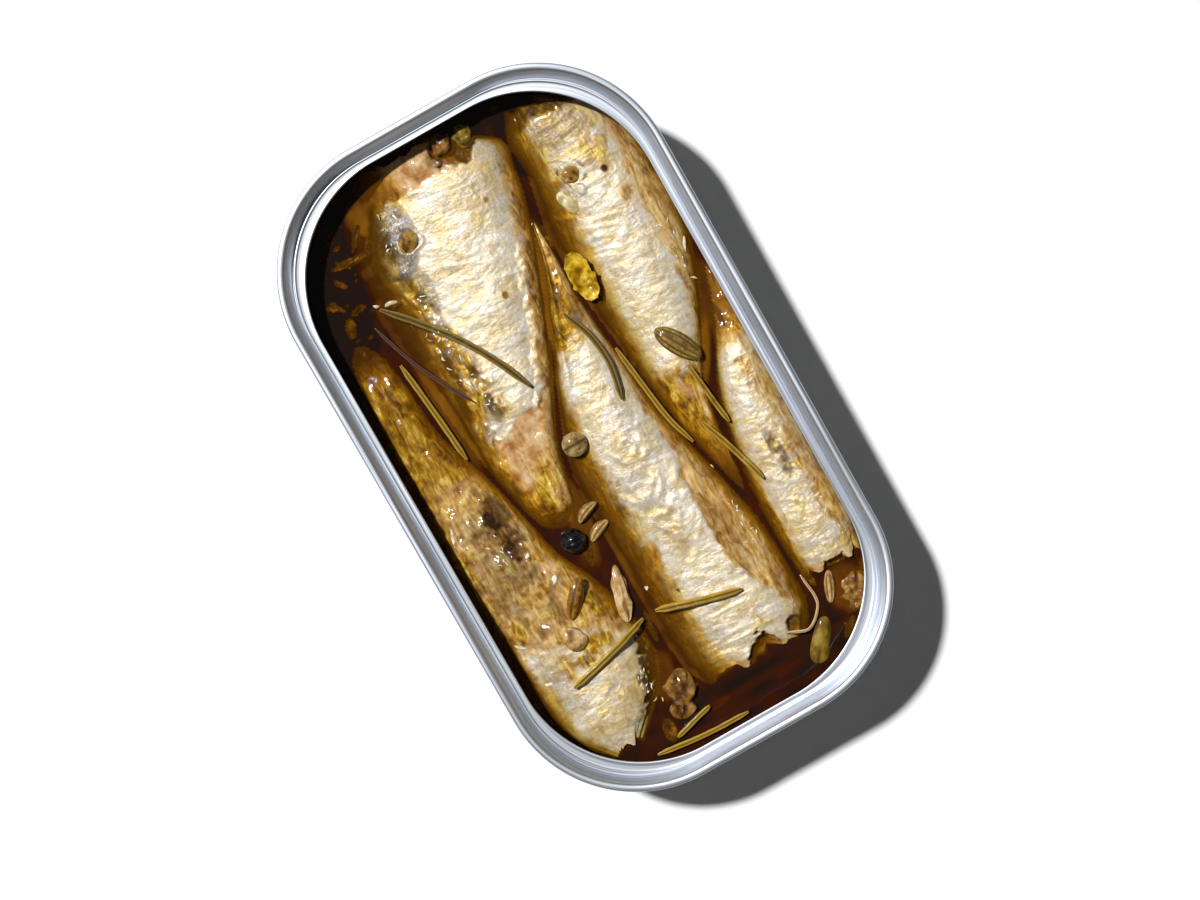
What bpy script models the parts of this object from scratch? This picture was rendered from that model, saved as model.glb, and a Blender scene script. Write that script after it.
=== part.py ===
"""An opened tin of sardines in oil.

A drawn aluminium can with the seamed rim that the ring-pull lid leaves behind, five headless
sardines lying side by side in spiced oil, and the seeds, herb needles and scraps on them.
Metres, +Z up. +X runs along the tin, the origin is under its middle on the surface it stands on.
"""
import math

import bmesh
import bpy
import numpy as np
from mathutils import Vector
from mathutils.bvhtree import BVHTree

MM = 0.001

# The tin, a quarter-club can
TIN_LENGTH = 105.0 * MM
TIN_WIDTH = 61.0 * MM
TIN_HEIGHT = 24.0 * MM
CORNER_RADIUS = 20.6 * MM
CORNER_STEPS = 8
SHARP_EDGE = math.radians(35)
METAL = 0.5 * MM
GAP = 0.3 * MM

# The double seam and the ring of lid inside it, measured in from the outer edge
SEAM_THICKNESS = 1.15 * MM
SEAM_HEIGHT = 2.6 * MM
SEAM_OVERHANG = 0.75 * MM
SEAM_CROWN = 0.3 * MM
CHUCK_FOOT = 2.1 * MM
LEDGE_TOP = 21.6 * MM
LEDGE_METAL = 0.35 * MM
LEDGE_EDGE = 3.3 * MM
LEDGE_CORNER_EXTRA = 2.2 * MM

# The can's wall and floor
WALL_LEAN = 0.35 * MM
FOOT_RADIUS = 2.2 * MM
FOOT_RING = 4.5 * MM
PANEL_RISE = 0.6 * MM

# The oil and the section of the fish: an oval of this power, as deep as its width makes it
OIL_LEVEL = 16.8 * MM
SECTION_POINTS = 14
FISH_SLICES = 20
SECTION_POWER = 2.3
DEPTH_PER_WIDTH = 0.55
LEAST_DEPTH = 2.0 * MM
DEEPEST_FISH = 12.5 * MM
SHARE_ABOVE_FLANK = 0.48

# The cut where a head was: the skin's ragged edge, and the dish of flesh inside it
TORN_EDGE = 0.5 * MM
TORN_BEAT = 2.6
DISH_SHARE = 0.6
DISHED_END = 1.4 * MM

# Each fish by its slices along the tin, in millimetres: place along X, low edge and high edge
# across Y, and height of the crest. head is the cut end's side along X, and lean is how much
# higher the back's side lies than the belly's.
FISH = {
    "fish_upper_left": {
        "head": "low",
        "slices": [
            (-48.0, -12.0, 1.5, 17.4),
            (-44.0, -16.0, 9.3, 18.1),
            (-38.0, -17.8, 9.7, 18.4),
            (-30.0, -18.6, 7.8, 18.4),
            (-20.0, -17.8, 4.3, 18.4),
            (-10.0, -16.8, 0.1, 18.2),
            (0.0, -15.4, -4.7, 17.8),
            (7.0, -13.8, -6.4, 17.4),
            (11.2, -12.5, -7.6, 17.1),
        ],
        "lean": 0.16,
    },
    "fish_upper_right": {
        "head": "low",
        "slices": [
            (-45.6, 12.4, 19.5, 17.6),
            (-43.0, 10.8, 23.6, 18.1),
            (-37.0, 10.8, 27.0, 18.4),
            (-29.0, 9.3, 28.2, 18.4),
            (-20.0, 9.0, 28.0, 18.4),
            (-10.0, 10.0, 24.9, 18.2),
            (-3.0, 10.9, 21.6, 17.9),
            (3.0, 11.7, 18.6, 17.6),
            (10.0, 13.3, 17.2, 17.3),
            (19.5, 15.4, 16.3, 17.0),
        ],
        "lean": 0.14,
    },
    "fish_middle": {
        "head": "high",
        "slices": [
            (-31.0, 8.1, 8.5, 17.0),
            (-25.0, 6.7, 8.6, 17.4),
            (-15.0, 2.7, 8.7, 17.8),
            (-5.0, -1.9, 9.8, 18.1),
            (4.0, -5.0, 10.9, 18.3),
            (15.0, -5.5, 13.7, 18.4),
            (25.0, -5.6, 15.7, 18.4),
            (35.0, -5.4, 16.1, 18.4),
            (40.0, -4.6, 15.4, 18.2),
            (42.6, -3.2, 13.6, 17.8),
        ],
        "lean": 0.14,
    },
    "fish_lower_left": {
        "head": "high",
        "slices": [
            (-27.0, -25.0, -21.8, 16.8),
            (-20.0, -26.4, -20.2, 17.0),
            (-10.0, -27.2, -19.3, 17.2),
            (0.0, -27.6, -16.1, 17.7),
            (8.0, -27.8, -14.2, 18.1),
            (14.0, -27.8, -12.8, 18.3),
            (20.0, -27.8, -10.0, 18.4),
            (28.0, -27.5, -7.7, 18.4),
            (35.0, -26.4, -7.6, 18.3),
            (40.5, -24.8, -10.8, 18.1),
            (44.6, -20.4, -15.4, 17.2),
        ],
        "lean": 0.05,
    },
    "fish_lower_right": {
        "head": "high",
        "slices": [
            (-13.0, 26.7, 27.5, 17.0),
            (-8.0, 25.4, 28.2, 17.3),
            (-2.0, 22.9, 28.2, 17.7),
            (4.0, 20.1, 28.2, 18.1),
            (10.0, 18.4, 28.2, 18.3),
            (16.0, 17.4, 28.2, 18.4),
            (24.0, 16.7, 28.2, 18.4),
            (31.0, 16.7, 28.1, 18.3),
            (35.4, 17.1, 27.0, 18.0),
        ],
        "lean": 0.12,
    },
}

# Hollows in the fish: torn cut ends and an open belly. Centre, radii and turn about Z,
# in millimetres and degrees
HOLLOWS = {
    "fish_upper_left": [((-46.2, 3.4, 18.4), (3.6, 3.2, 3.4), 0.0)],
    "fish_middle": [
        ((43.0, 6.8, 18.2), (3.2, 2.9, 3.2), -20.0),
        ((41.0, 12.6, 18.6), (2.2, 1.7, 2.4), 0.0),
    ],
    "fish_lower_left": [
        ((7.5, -17.6, 18.8), (7.0, 1.6, 1.8), 3.0),
        ((41.6, -11.6, 18.4), (2.8, 1.5, 2.0), -35.0),
    ],
    "fish_lower_right": [((36.2, 22.6, 18.2), (2.2, 2.4, 2.4), 10.0)],
}

# Seeds and scraps grown onto one fish. Centre in plan, radii, turn about Z and share sunk in
SEEDS_ON_FISH = {
    "fish_upper_left": [((-36.5, -9.0), (1.7, 1.4, 1.1), -35.0, 0.35)],
    "fish_upper_right": [
        ((-33.3, 16.6), (1.7, 1.6, 1.1), 0.0, 0.35),
        ((-29.8, 14.2), (1.8, 1.2, 0.8), 20.0, 0.35),
        ((-4.3, 17.9), (4.0, 1.6, 1.2), 30.0, 0.35),
    ],
    "fish_lower_left": [
        ((26.5, -16.9), (1.9, 1.7, 1.0), 15.0, 0.3),
        ((21.4, -14.0), (3.2, 0.9, 0.8), -40.0, 0.3),
    ],
}

# Loose pieces that stand in the oil or lie across two fish. Centre, radii and turn about Z
LOOSE_PIECES = {
    "coriander_split": ((1.2, -2.7, 17.7), (1.9, 1.9, 1.0), 0.0),
    "peppercorn": ((13.6, -10.0, 17.2), (1.95, 1.95, 1.95), 0.0),
    "caraway_seed_1": ((10.6, -6.1, 17.6), (2.0, 0.75, 0.7), -68.0),
    "caraway_seed_2": ((14.0, -5.9, 17.1), (2.0, 0.85, 0.75), -66.0),
    "flesh_fragment": ((41.6, -7.3, 16.7), (3.9, 2.1, 1.9), -25.0),
    "backbone_bits": ((41.2, 23.2, 16.2), (3.2, 2.2, 1.8), -25.0),
    "brown_seed_right": ((38.6, 19.9, 16.9), (2.5, 0.85, 0.75), -24.0),
    "peel_strip": ((45.0, 14.9, 16.4), (3.6, 1.5, 0.9), -38.0),
    "peel_bit": ((-46.3, 5.4, 16.7), (1.8, 1.5, 0.9), 10.0),
    "rib_bits": ((-46.8, 1.9, 16.8), (1.6, 1.5, 1.1), 30.0),
    "flesh_strip": ((24.0, -7.6, 17.3), (4.4, 1.1, 0.9), -16.0),
}

# Herb needles: a thickness, its share left at the tips, the length of one straight step, and
# how closely the ground under a needle is felt for
NEEDLE_RADIUS = 0.45 * MM
NEEDLE_TIP = 0.45
NEEDLE_STEP = 2.4 * MM
FEEL_PER_STEP = 6
FEEL_REACH = 1.1

# Each needle by the points it passes over in plan, and its thickness as a share
NEEDLES = {
    "needle_1": ([(-30.2, -17.8), (-25.0, -13.2), (-19.6, -9.1), (-14.6, -6.3), (-9.6, -4.1)], 1.2),
    "needle_2": ([(-21.6, -19.2), (-13.0, -18.3), (-4.6, -17.6)], 1.0),
    "needle_3": ([(-16.4, 5.4), (-12.4, 7.0), (-7.4, 7.7), (-1.2, 6.7)], 1.0),
    "needle_4": ([(-8.2, 9.6), (-1.0, 10.5), (5.0, 11.4), (9.6, 12.8)], 0.9),
    "needle_5": ([(-0.8, 17.6), (3.6, 18.1), (9.6, 18.9)], 0.9),
    "needle_6": ([(7.6, 15.3), (12.6, 17.1), (19.4, 19.2)], 1.0),
    "needle_7": ([(31.9, 8.1), (30.9, 3.0), (29.2, -1.2), (28.7, -4.4)], 1.1),
    "needle_8": ([(28.8, -6.6), (29.9, -10.2), (31.3, -15.2), (32.6, -20.6)], 1.1),
    "needle_9": ([(45.2, -4.4), (46.0, -7.4), (47.0, -10.9)], 0.9),
    "needle_10": ([(48.9, 0.2), (48.7, -7.0), (47.8, -14.8)], 0.9),
    "rib_bone": ([(34.8, 16.9), (40.2, 16.9), (42.4, 14.4), (41.2, 10.8)], 0.5),
    "stem": ([(-28.2, -19.8), (-21.0, -17.4), (-15.8, -14.9), (-11.4, -12.4)], 0.6),
}

# A curled scrap of yellow rind
PEEL_CENTRE = (-19.9 * MM, 10.4 * MM, 17.55 * MM)
PEEL_HALF_LENGTH = 3.9 * MM
PEEL_HALF_WIDTH = 1.9 * MM
PEEL_THICKNESS = 0.6 * MM
PEEL_CURL = 0.8 * MM
PEEL_WAVE = 0.15 * MM
PEEL_WAVES = 5.0
PEEL_BLUNTNESS = 0.12

# What the loose pieces are made of, where they aren't seeds
LOOSE_FINISH = {
    "peppercorn": "pepper",
    "flesh_fragment": "flesh",
    "backbone_bits": "flesh",
    "rib_bits": "flesh",
    "flesh_strip": "flesh",
    "peel_strip": "peel",
    "peel_bit": "peel",
}

COLOURS = {
    "can_body": ((0.62, 0.63, 0.65), 0.28, 1.0),
    "lid_ring": ((0.72, 0.73, 0.75), 0.25, 1.0),
    "oil": ((0.18, 0.07, 0.01), 0.05, 0.0),
    "fish": ((0.72, 0.66, 0.52), 0.3, 0.2),
    "seed": ((0.30, 0.19, 0.07), 0.5, 0.0),
    "pepper": ((0.02, 0.015, 0.015), 0.4, 0.0),
    "flesh": ((0.42, 0.24, 0.11), 0.5, 0.0),
    "peel": ((0.45, 0.32, 0.03), 0.4, 0.0),
    "herb": ((0.27, 0.20, 0.04), 0.45, 0.0),
}


def clear_scene():
    for obj in list(bpy.data.objects):
        bpy.data.objects.remove(obj, do_unlink=True)


def new_collection(name):
    collection = bpy.data.collections.new(name)
    bpy.context.scene.collection.children.link(collection)
    return collection


def material(name):
    """A Principled finish named for what it covers."""
    if name in bpy.data.materials:
        return bpy.data.materials[name]
    colour, roughness, metallic = COLOURS[name]
    made = bpy.data.materials.new(name)
    made.use_nodes = True
    shader = made.node_tree.nodes["Principled BSDF"]
    shader.inputs["Base Color"].default_value = (*colour, 1.0)
    shader.inputs["Roughness"].default_value = roughness
    shader.inputs["Metallic"].default_value = metallic
    return made


def object_from_mesh(name, mesh, collection, finish):
    obj = bpy.data.objects.new(name, mesh)
    collection.objects.link(obj)
    mesh.materials.append(material(finish))
    mesh.shade_smooth()
    mesh.set_sharp_from_angle(angle=SHARP_EDGE)
    return obj


def bridge(mesh_builder, first, second):
    """Quads between two rings of the same count."""
    count = len(first)
    for i in range(count):
        j = (i + 1) % count
        mesh_builder.faces.new((first[i], first[j], second[j], second[i]))


def tin_outline(inset, extra=0.0):
    """A rounded rectangle that lies inset inside the tin's outer edge.

    extra widens the corner's radius beyond a plain inset. Points run counter-clockwise.
    """
    half_x = TIN_LENGTH / 2 - inset
    half_y = TIN_WIDTH / 2 - inset
    radius = CORNER_RADIUS - inset + extra
    points = []
    for quarter, (sx, sy) in enumerate(((1, 1), (-1, 1), (-1, -1), (1, -1))):
        for step in range(CORNER_STEPS + 1):
            angle = math.radians(90 * quarter + 90 * step / CORNER_STEPS)
            x = sx * (half_x - radius) + radius * math.cos(angle)
            y = sy * (half_y - radius) + radius * math.sin(angle)
            points.append((x, y))
    return points


def ledge_extra(inset):
    """How much rounder the corner is from the foot of the chuck wall to the cut edge."""
    share = (inset - CHUCK_FOOT) / (LEDGE_EDGE - CHUCK_FOOT)
    return LEDGE_CORNER_EXTRA * min(1.0, max(0.0, share))


def ring_at(mesh_builder, inset, height, extra=0.0):
    return [mesh_builder.verts.new((x, y, height)) for x, y in tin_outline(inset, extra)]


def finish_mesh(name, mesh_builder):
    bmesh.ops.recalc_face_normals(mesh_builder, faces=mesh_builder.faces)
    mesh = bpy.data.meshes.new(name)
    mesh_builder.to_mesh(mesh)
    mesh_builder.free()
    return mesh


def make_lid_ring(collection):
    """The double seam with the chuck wall and the ledge that the torn-off panel leaves."""
    low = TIN_HEIGHT - SEAM_HEIGHT
    crown = SEAM_CROWN
    ledge_under = LEDGE_TOP - LEDGE_METAL
    profile = [
        (0.0, low + crown),
        (0.0, TIN_HEIGHT - 1.6 * crown),
        (0.5 * crown, TIN_HEIGHT - 0.5 * crown),
        (1.5 * crown, TIN_HEIGHT),
        (SEAM_THICKNESS - 1.3 * crown, TIN_HEIGHT),
        (SEAM_THICKNESS - 0.3 * crown, TIN_HEIGHT - 0.5 * crown),
        (SEAM_THICKNESS + 0.1 * MM, TIN_HEIGHT - 1.8 * crown),
        (CHUCK_FOOT - 0.15 * MM, LEDGE_TOP + 0.2 * MM),
        (CHUCK_FOOT + 0.1 * MM, LEDGE_TOP - 0.05 * MM),
        (CHUCK_FOOT + 0.4 * MM, LEDGE_TOP),
        (LEDGE_EDGE - 0.1 * MM, LEDGE_TOP),
        (LEDGE_EDGE, LEDGE_TOP - 0.5 * LEDGE_METAL),
        (LEDGE_EDGE - 0.1 * MM, ledge_under),
        (CHUCK_FOOT, ledge_under),
        (SEAM_THICKNESS + 0.5 * MM, low + 0.1 * MM),
        (SEAM_THICKNESS - 0.1 * MM, low),
        (crown, low),
    ]
    builder = bmesh.new()
    rings = [ring_at(builder, inset, height, ledge_extra(inset)) for inset, height in profile]
    for first, second in zip(rings, rings[1:] + rings[:1]):
        bridge(builder, first, second)
    return object_from_mesh("lid_ring", finish_mesh("lid_ring", builder), collection, "lid_ring")


def wall_inset(height):
    """The can's outer face, which leans in a little towards the foot."""
    top = TIN_HEIGHT - SEAM_HEIGHT - GAP
    return SEAM_OVERHANG + WALL_LEAN * (top - height) / top


def make_can_body(collection):
    """The drawn shell: straight wall, rounded foot, a ring to stand on and a raised panel."""
    top = TIN_HEIGHT - SEAM_HEIGHT - GAP
    foot = wall_inset(FOOT_RADIUS)
    small = FOOT_RADIUS - METAL
    outer = [(wall_inset(top), top), (foot, FOOT_RADIUS)]
    inner = [(wall_inset(top) + METAL, top), (foot + METAL, FOOT_RADIUS)]
    for step in range(1, 4):
        reach = 1 - math.cos(math.radians(30 * step))
        drop = 1 - math.sin(math.radians(30 * step))
        outer.append((foot + FOOT_RADIUS * reach, FOOT_RADIUS * drop))
        inner.append((foot + METAL + small * reach, METAL + small * drop))
    ring_end = foot + FOOT_RADIUS + FOOT_RING
    outer += [(ring_end, 0.0), (ring_end + PANEL_RISE, PANEL_RISE)]
    inner += [(ring_end, METAL), (ring_end + PANEL_RISE, METAL + PANEL_RISE)]
    builder = bmesh.new()
    outside = [ring_at(builder, inset, height) for inset, height in outer]
    inside = [ring_at(builder, inset, height) for inset, height in inner]
    for rings in (outside, inside):
        for first, second in zip(rings, rings[1:]):
            bridge(builder, first, second)
    bridge(builder, outside[0], inside[0])
    builder.faces.new(outside[-1])
    builder.faces.new(inside[-1])
    return object_from_mesh("can_body", finish_mesh("can_body", builder), collection, "can_body")


def smooth_through(places, values, wanted):
    """A smooth curve through the given values, each slope set by its two neighbours."""
    places = np.asarray(places, float)
    values = np.asarray(values, float)
    slopes = np.gradient(values, places)
    slot = np.clip(np.searchsorted(places, wanted, side="right") - 1, 0, len(places) - 2)
    span = places[slot + 1] - places[slot]
    s = (wanted - places[slot]) / span
    return (
        (2 * s**3 - 3 * s**2 + 1) * values[slot]
        + (s**3 - 2 * s**2 + s) * span * slopes[slot]
        + (3 * s**2 - 2 * s**3) * values[slot + 1]
        + (s**3 - s**2) * span * slopes[slot + 1]
    )


def signed_power(value, power):
    return np.sign(value) * np.abs(value) ** power


def fish_section(low, high, crest, lean, grow):
    """One slice across a fish: a rounded oval, leaned so that its back lies higher."""
    angle = 2 * np.pi * np.arange(SECTION_POINTS) / SECTION_POINTS
    half = (high - low) / 2
    depth = min(DEEPEST_FISH, DEPTH_PER_WIDTH * (high - low) + LEAST_DEPTH)
    up = SHARE_ABOVE_FLANK * depth
    middle = crest - up
    across = signed_power(np.cos(angle), 2 / SECTION_POWER)
    lift = signed_power(np.sin(angle), 2 / SECTION_POWER)
    y = (low + high) / 2 + (half + grow) * across
    z = middle + np.where(lift > 0, up + grow, depth - up + grow) * lift + lean * half * across
    z -= max(0.0, (z.max() - crest - grow))
    return y, z


def close_torn_end(mesh_builder, ring, inward):
    """Close the cut where the head was: a ragged edge of skin round dished flesh."""
    for i, vert in enumerate(ring):
        vert.co.x += TORN_EDGE * math.sin(TORN_BEAT * i)
    middle = sum((vert.co for vert in ring), Vector()) / len(ring)
    inner = []
    for vert in ring:
        place = middle.lerp(vert.co, DISH_SHARE)
        place.x = middle.x + inward * 0.8 * DISHED_END
        inner.append(mesh_builder.verts.new(place))
    bridge(mesh_builder, ring, inner)
    bottom = mesh_builder.verts.new(middle + Vector((inward * DISHED_END, 0.0, 0.0)))
    for i, vert in enumerate(inner):
        mesh_builder.faces.new((vert, inner[(i + 1) % len(inner)], bottom))


def fish_mesh(name, grow=0.0):
    """A headless fish: slices along X, a torn, dished cut end and a blunt tail end.

    grow swells it all round, with plain ends that clear the torn edge.
    """
    shape = FISH[name]
    x, low, high, crest = (np.array(row) * MM for row in zip(*shape["slices"]))
    even = np.linspace(0.0, 1.0, FISH_SLICES)
    crowded = (1 - np.cos(np.pi * even)) / 2
    places = x[0] + (x[-1] - x[0]) * (even + crowded) / 2
    lows = smooth_through(x, low, places)
    highs = smooth_through(x, high, places)
    crests = smooth_through(x, crest, places)
    if grow:
        places[0] -= grow + TORN_EDGE
        places[-1] += grow + TORN_EDGE
    builder = bmesh.new()
    rings = []
    for place, low_edge, high_edge, top in zip(places, lows, highs, crests):
        y, z = fish_section(low_edge, high_edge, top, shape["lean"], grow)
        rings.append([builder.verts.new((place, b, c)) for b, c in zip(y, z)])
    for first, second in zip(rings, rings[1:]):
        bridge(builder, first, second)
    if grow:
        builder.faces.new(rings[0])
        builder.faces.new(rings[-1])
    elif shape["head"] == "low":
        close_torn_end(builder, rings[0], 1)
        builder.faces.new(rings[-1])
    else:
        close_torn_end(builder, rings[-1], -1)
        builder.faces.new(rings[0])
    bmesh.ops.triangulate(builder, faces=[f for f in builder.faces if len(f.verts) > 4])
    return finish_mesh(name, builder)


def ellipsoid(name, centre, radii, turn, collection, finish, grow=0.0, segments=12, rings=8):
    builder = bmesh.new()
    bmesh.ops.create_uvsphere(builder, u_segments=segments, v_segments=rings, radius=1.0)
    size = [radius * MM + grow for radius in radii]
    bmesh.ops.scale(builder, vec=size, verts=builder.verts)
    cosine = math.cos(math.radians(turn))
    sine = math.sin(math.radians(turn))
    for vert in builder.verts:
        x, y, z = vert.co
        vert.co = (
            centre[0] * MM + x * cosine - y * sine,
            centre[1] * MM + x * sine + y * cosine,
            centre[2] * MM + z,
        )
    return object_from_mesh(name, finish_mesh(name, builder), collection, finish)


def apply_modifiers(obj):
    """Keep the object's evaluated mesh as its own."""
    graph = bpy.context.evaluated_depsgraph_get()
    mesh = bpy.data.meshes.new_from_object(obj.evaluated_get(graph))
    obj.modifiers.clear()
    obj.data = mesh


def boolean(obj, operation, collection):
    """Cut or join obj with every object of a collection, then drop those objects."""
    modifier = obj.modifiers.new(operation.lower(), "BOOLEAN")
    modifier.operation = operation
    modifier.operand_type = "COLLECTION"
    modifier.collection = collection
    modifier.solver = "EXACT"
    apply_modifiers(obj)
    for tool in list(collection.objects):
        bpy.data.objects.remove(tool, do_unlink=True)


def surface_height(tree, x, y):
    """The height of what lies at a place in plan: a fish, or the oil where there is none."""
    hit = tree.ray_cast(Vector((x, y, TIN_HEIGHT)), Vector((0.0, 0.0, -1.0)))[0]
    return max(OIL_LEVEL, hit.z) if hit else OIL_LEVEL


def make_fish(name, collection, tools, grow=0.0):
    """One fish with its torn hollows. grow swells it, to cut the oil clear of it."""
    fish = object_from_mesh(name, fish_mesh(name, grow), collection, "fish")
    for centre, radii, turn in HOLLOWS.get(name, []):
        ellipsoid(name + "_hollow", centre, radii, turn, tools, "flesh", -grow)
    if name in HOLLOWS:
        boolean(fish, "DIFFERENCE", tools)
    return fish


def place_seeds(fish):
    """Where the seeds on this fish lie, each sunk a little into the skin."""
    tree = tree_of([fish])
    placed = []
    for (x, y), radii, turn, sunk in SEEDS_ON_FISH.get(fish.name, []):
        height = surface_height(tree, x * MM, y * MM) / MM
        placed.append(((x, y, height + radii[2] * (1 - 2 * sunk)), radii, turn))
    return placed


def add_seeds(placed, collection, grow=0.0):
    for centre, radii, turn in placed:
        ellipsoid("seed", centre, radii, turn, collection, "seed", grow, segments=8, rings=6)


def make_oil(collection, room, tools, placed):
    """The oil up to its level, cut round the fish and the pieces that stand in it."""
    floor = METAL + PANEL_RISE + GAP
    clear = METAL + GAP
    builder = bmesh.new()
    levels = (
        (wall_inset(OIL_LEVEL) + clear, OIL_LEVEL),
        (wall_inset(FOOT_RADIUS) + clear, FOOT_RADIUS),
        (wall_inset(FOOT_RADIUS) + clear + 0.7 * FOOT_RADIUS, floor),
    )
    rings = [ring_at(builder, inset, height) for inset, height in levels]
    for first, second in zip(rings, rings[1:]):
        bridge(builder, first, second)
    builder.faces.new(rings[0])
    builder.faces.new(rings[-1])
    oil = object_from_mesh("oil", finish_mesh("oil", builder), collection, "oil")
    for name in FISH:
        make_fish(name, room, tools, GAP)
    add_loose_pieces(room, GAP)
    add_seeds(placed, room, GAP)
    boolean(oil, "DIFFERENCE", room)


def add_loose_pieces(collection, grow=0.0):
    """The seeds, peel and scraps that stand in the oil."""
    for name, (centre, radii, turn) in LOOSE_PIECES.items():
        finish = LOOSE_FINISH.get(name.rstrip("_12"), "seed")
        ellipsoid(name, centre, radii, turn, collection, finish, grow, segments=10, rings=7)


def make_yellow_peel(collection):
    """A curled scrap of yellow rind: a thin oval sheet whose long sides curl up."""
    along = np.linspace(-1.0, 1.0, 9)
    across = np.linspace(-1.0, 1.0, 5)
    builder = bmesh.new()
    rows = []
    for u in along:
        row = []
        for v in across:
            width = PEEL_HALF_WIDTH * math.sqrt(max(PEEL_BLUNTNESS, 1.0 - u * u))
            x = PEEL_CENTRE[0] + u * PEEL_HALF_LENGTH
            y = PEEL_CENTRE[1] + v * width
            curl = PEEL_CURL * v * v + PEEL_WAVE * math.sin(PEEL_WAVES * u)
            row.append(builder.verts.new((x, y, PEEL_CENTRE[2] + curl)))
        rows.append(row)
    for first, second in zip(rows, rows[1:]):
        for i in range(len(across) - 1):
            builder.faces.new((first[i], second[i], second[i + 1], first[i + 1]))
    peel = object_from_mesh("yellow_peel", finish_mesh("yellow_peel", builder), collection, "peel")
    shell = peel.modifiers.new("thickness", "SOLIDIFY")
    shell.thickness = PEEL_THICKNESS
    shell.offset = 0.0
    apply_modifiers(peel)


def ground_under(tree, x, y, radius):
    """The highest ground within a needle's thickness of each of its places."""
    steps = ((0, 0), (radius, 0), (-radius, 0), (0, radius), (0, -radius))
    return [max(surface_height(tree, a + dx, b + dy) for dx, dy in steps) for a, b in zip(x, y)]


def make_needle(name, collection, tree):
    """A herb needle laid over whatever is under its path, tapered towards both tips."""
    path, share = NEEDLES[name]
    points = np.array(path) * MM
    radius = NEEDLE_RADIUS * share
    run = np.concatenate([[0.0], np.cumsum(np.hypot(*np.diff(points, axis=0).T))])
    count = max(4, int(round(run[-1] / NEEDLE_STEP)) + 1)
    places = np.linspace(0.0, run[-1], count)
    felt = np.linspace(0.0, run[-1], FEEL_PER_STEP * count)
    felt_x = smooth_through(run, points[:, 0], felt)
    felt_y = smooth_through(run, points[:, 1], felt)
    ground = np.array(ground_under(tree, felt_x, felt_y, radius))
    reach = FEEL_REACH * run[-1] / (count - 1)
    curve = bpy.data.curves.new(name, "CURVE")
    curve.dimensions = "3D"
    curve.bevel_depth = radius
    curve.bevel_resolution = 1
    curve.use_fill_caps = True
    spline = curve.splines.new("POLY")
    spline.points.add(count - 1)
    x = smooth_through(run, points[:, 0], places)
    y = smooth_through(run, points[:, 1], places)
    for i, place in enumerate(places):
        near = ground[np.abs(felt - place) <= reach]
        spline.points[i].co = (x[i], y[i], near.max() + GAP + radius, 1.0)
    for tip in (spline.points[0], spline.points[-1]):
        tip.radius = NEEDLE_TIP
    needle = bpy.data.objects.new(name, curve)
    collection.objects.link(needle)
    curve.materials.append(material("herb"))


def tree_of(objects):
    """One search tree over the surfaces of several objects."""
    places = []
    faces = []
    for obj in objects:
        start = len(places)
        places += [vert.co.copy() for vert in obj.data.vertices]
        faces += [[start + i for i in face.vertices] for face in obj.data.polygons]
    return BVHTree.FromPolygons(places, faces)


def main():
    clear_scene()
    tin = new_collection("sardine_tin")
    tools = new_collection("cutters")
    room = new_collection("room_in_the_oil")
    make_can_body(tin)
    make_lid_ring(tin)
    contents = []
    seeds = []
    for name in FISH:
        fish = make_fish(name, tin, tools)
        add_loose_pieces(tools, GAP)
        boolean(fish, "DIFFERENCE", tools)
        placed = place_seeds(fish)
        if placed:
            add_seeds(placed, tools)
            boolean(fish, "UNION", tools)
        seeds += placed
        contents.append(fish)
    before = set(tin.objects)
    add_loose_pieces(tin)
    make_yellow_peel(tin)
    contents += [obj for obj in tin.objects if obj not in before]
    tree = tree_of(contents)
    for name in NEEDLES:
        make_needle(name, tin, tree)
    make_oil(tin, room, tools, seeds)


main()
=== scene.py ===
"""The looks of an opened tin of sardines in oil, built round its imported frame.

The file follows the tin as it is filled: the view and the light, the drawn can, the seamed ring
of its lid, the fish, what lies among them, the oil, and the herbs on top. The metal and the oil's
outline are worked out in metres, and the fish and all that lies on them in millimetres.
"""

import math
from functools import partial

import bpy
import numpy as np
from mathutils import Matrix, Vector
from mathutils.bvhtree import BVHTree


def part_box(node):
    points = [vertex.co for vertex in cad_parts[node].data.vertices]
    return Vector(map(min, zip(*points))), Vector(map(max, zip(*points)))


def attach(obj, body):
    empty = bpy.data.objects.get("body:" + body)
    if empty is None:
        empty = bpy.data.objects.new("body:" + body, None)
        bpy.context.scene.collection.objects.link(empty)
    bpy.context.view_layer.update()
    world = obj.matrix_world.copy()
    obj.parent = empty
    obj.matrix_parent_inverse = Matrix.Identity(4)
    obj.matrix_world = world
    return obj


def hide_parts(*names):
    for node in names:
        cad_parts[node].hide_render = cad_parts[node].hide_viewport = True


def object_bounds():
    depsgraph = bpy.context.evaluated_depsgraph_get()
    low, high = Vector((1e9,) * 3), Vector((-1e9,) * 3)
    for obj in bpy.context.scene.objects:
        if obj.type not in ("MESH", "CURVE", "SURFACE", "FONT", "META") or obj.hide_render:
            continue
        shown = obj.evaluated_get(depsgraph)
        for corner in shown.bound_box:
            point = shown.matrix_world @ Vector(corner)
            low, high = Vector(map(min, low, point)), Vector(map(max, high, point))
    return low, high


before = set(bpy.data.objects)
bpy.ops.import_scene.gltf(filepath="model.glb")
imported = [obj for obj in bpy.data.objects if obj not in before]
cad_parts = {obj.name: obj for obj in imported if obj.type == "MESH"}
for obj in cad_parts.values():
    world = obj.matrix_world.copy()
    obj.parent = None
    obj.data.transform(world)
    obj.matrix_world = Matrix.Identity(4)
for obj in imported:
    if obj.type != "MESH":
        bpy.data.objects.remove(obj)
cad_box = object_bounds()
MM = 0.001

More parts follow.
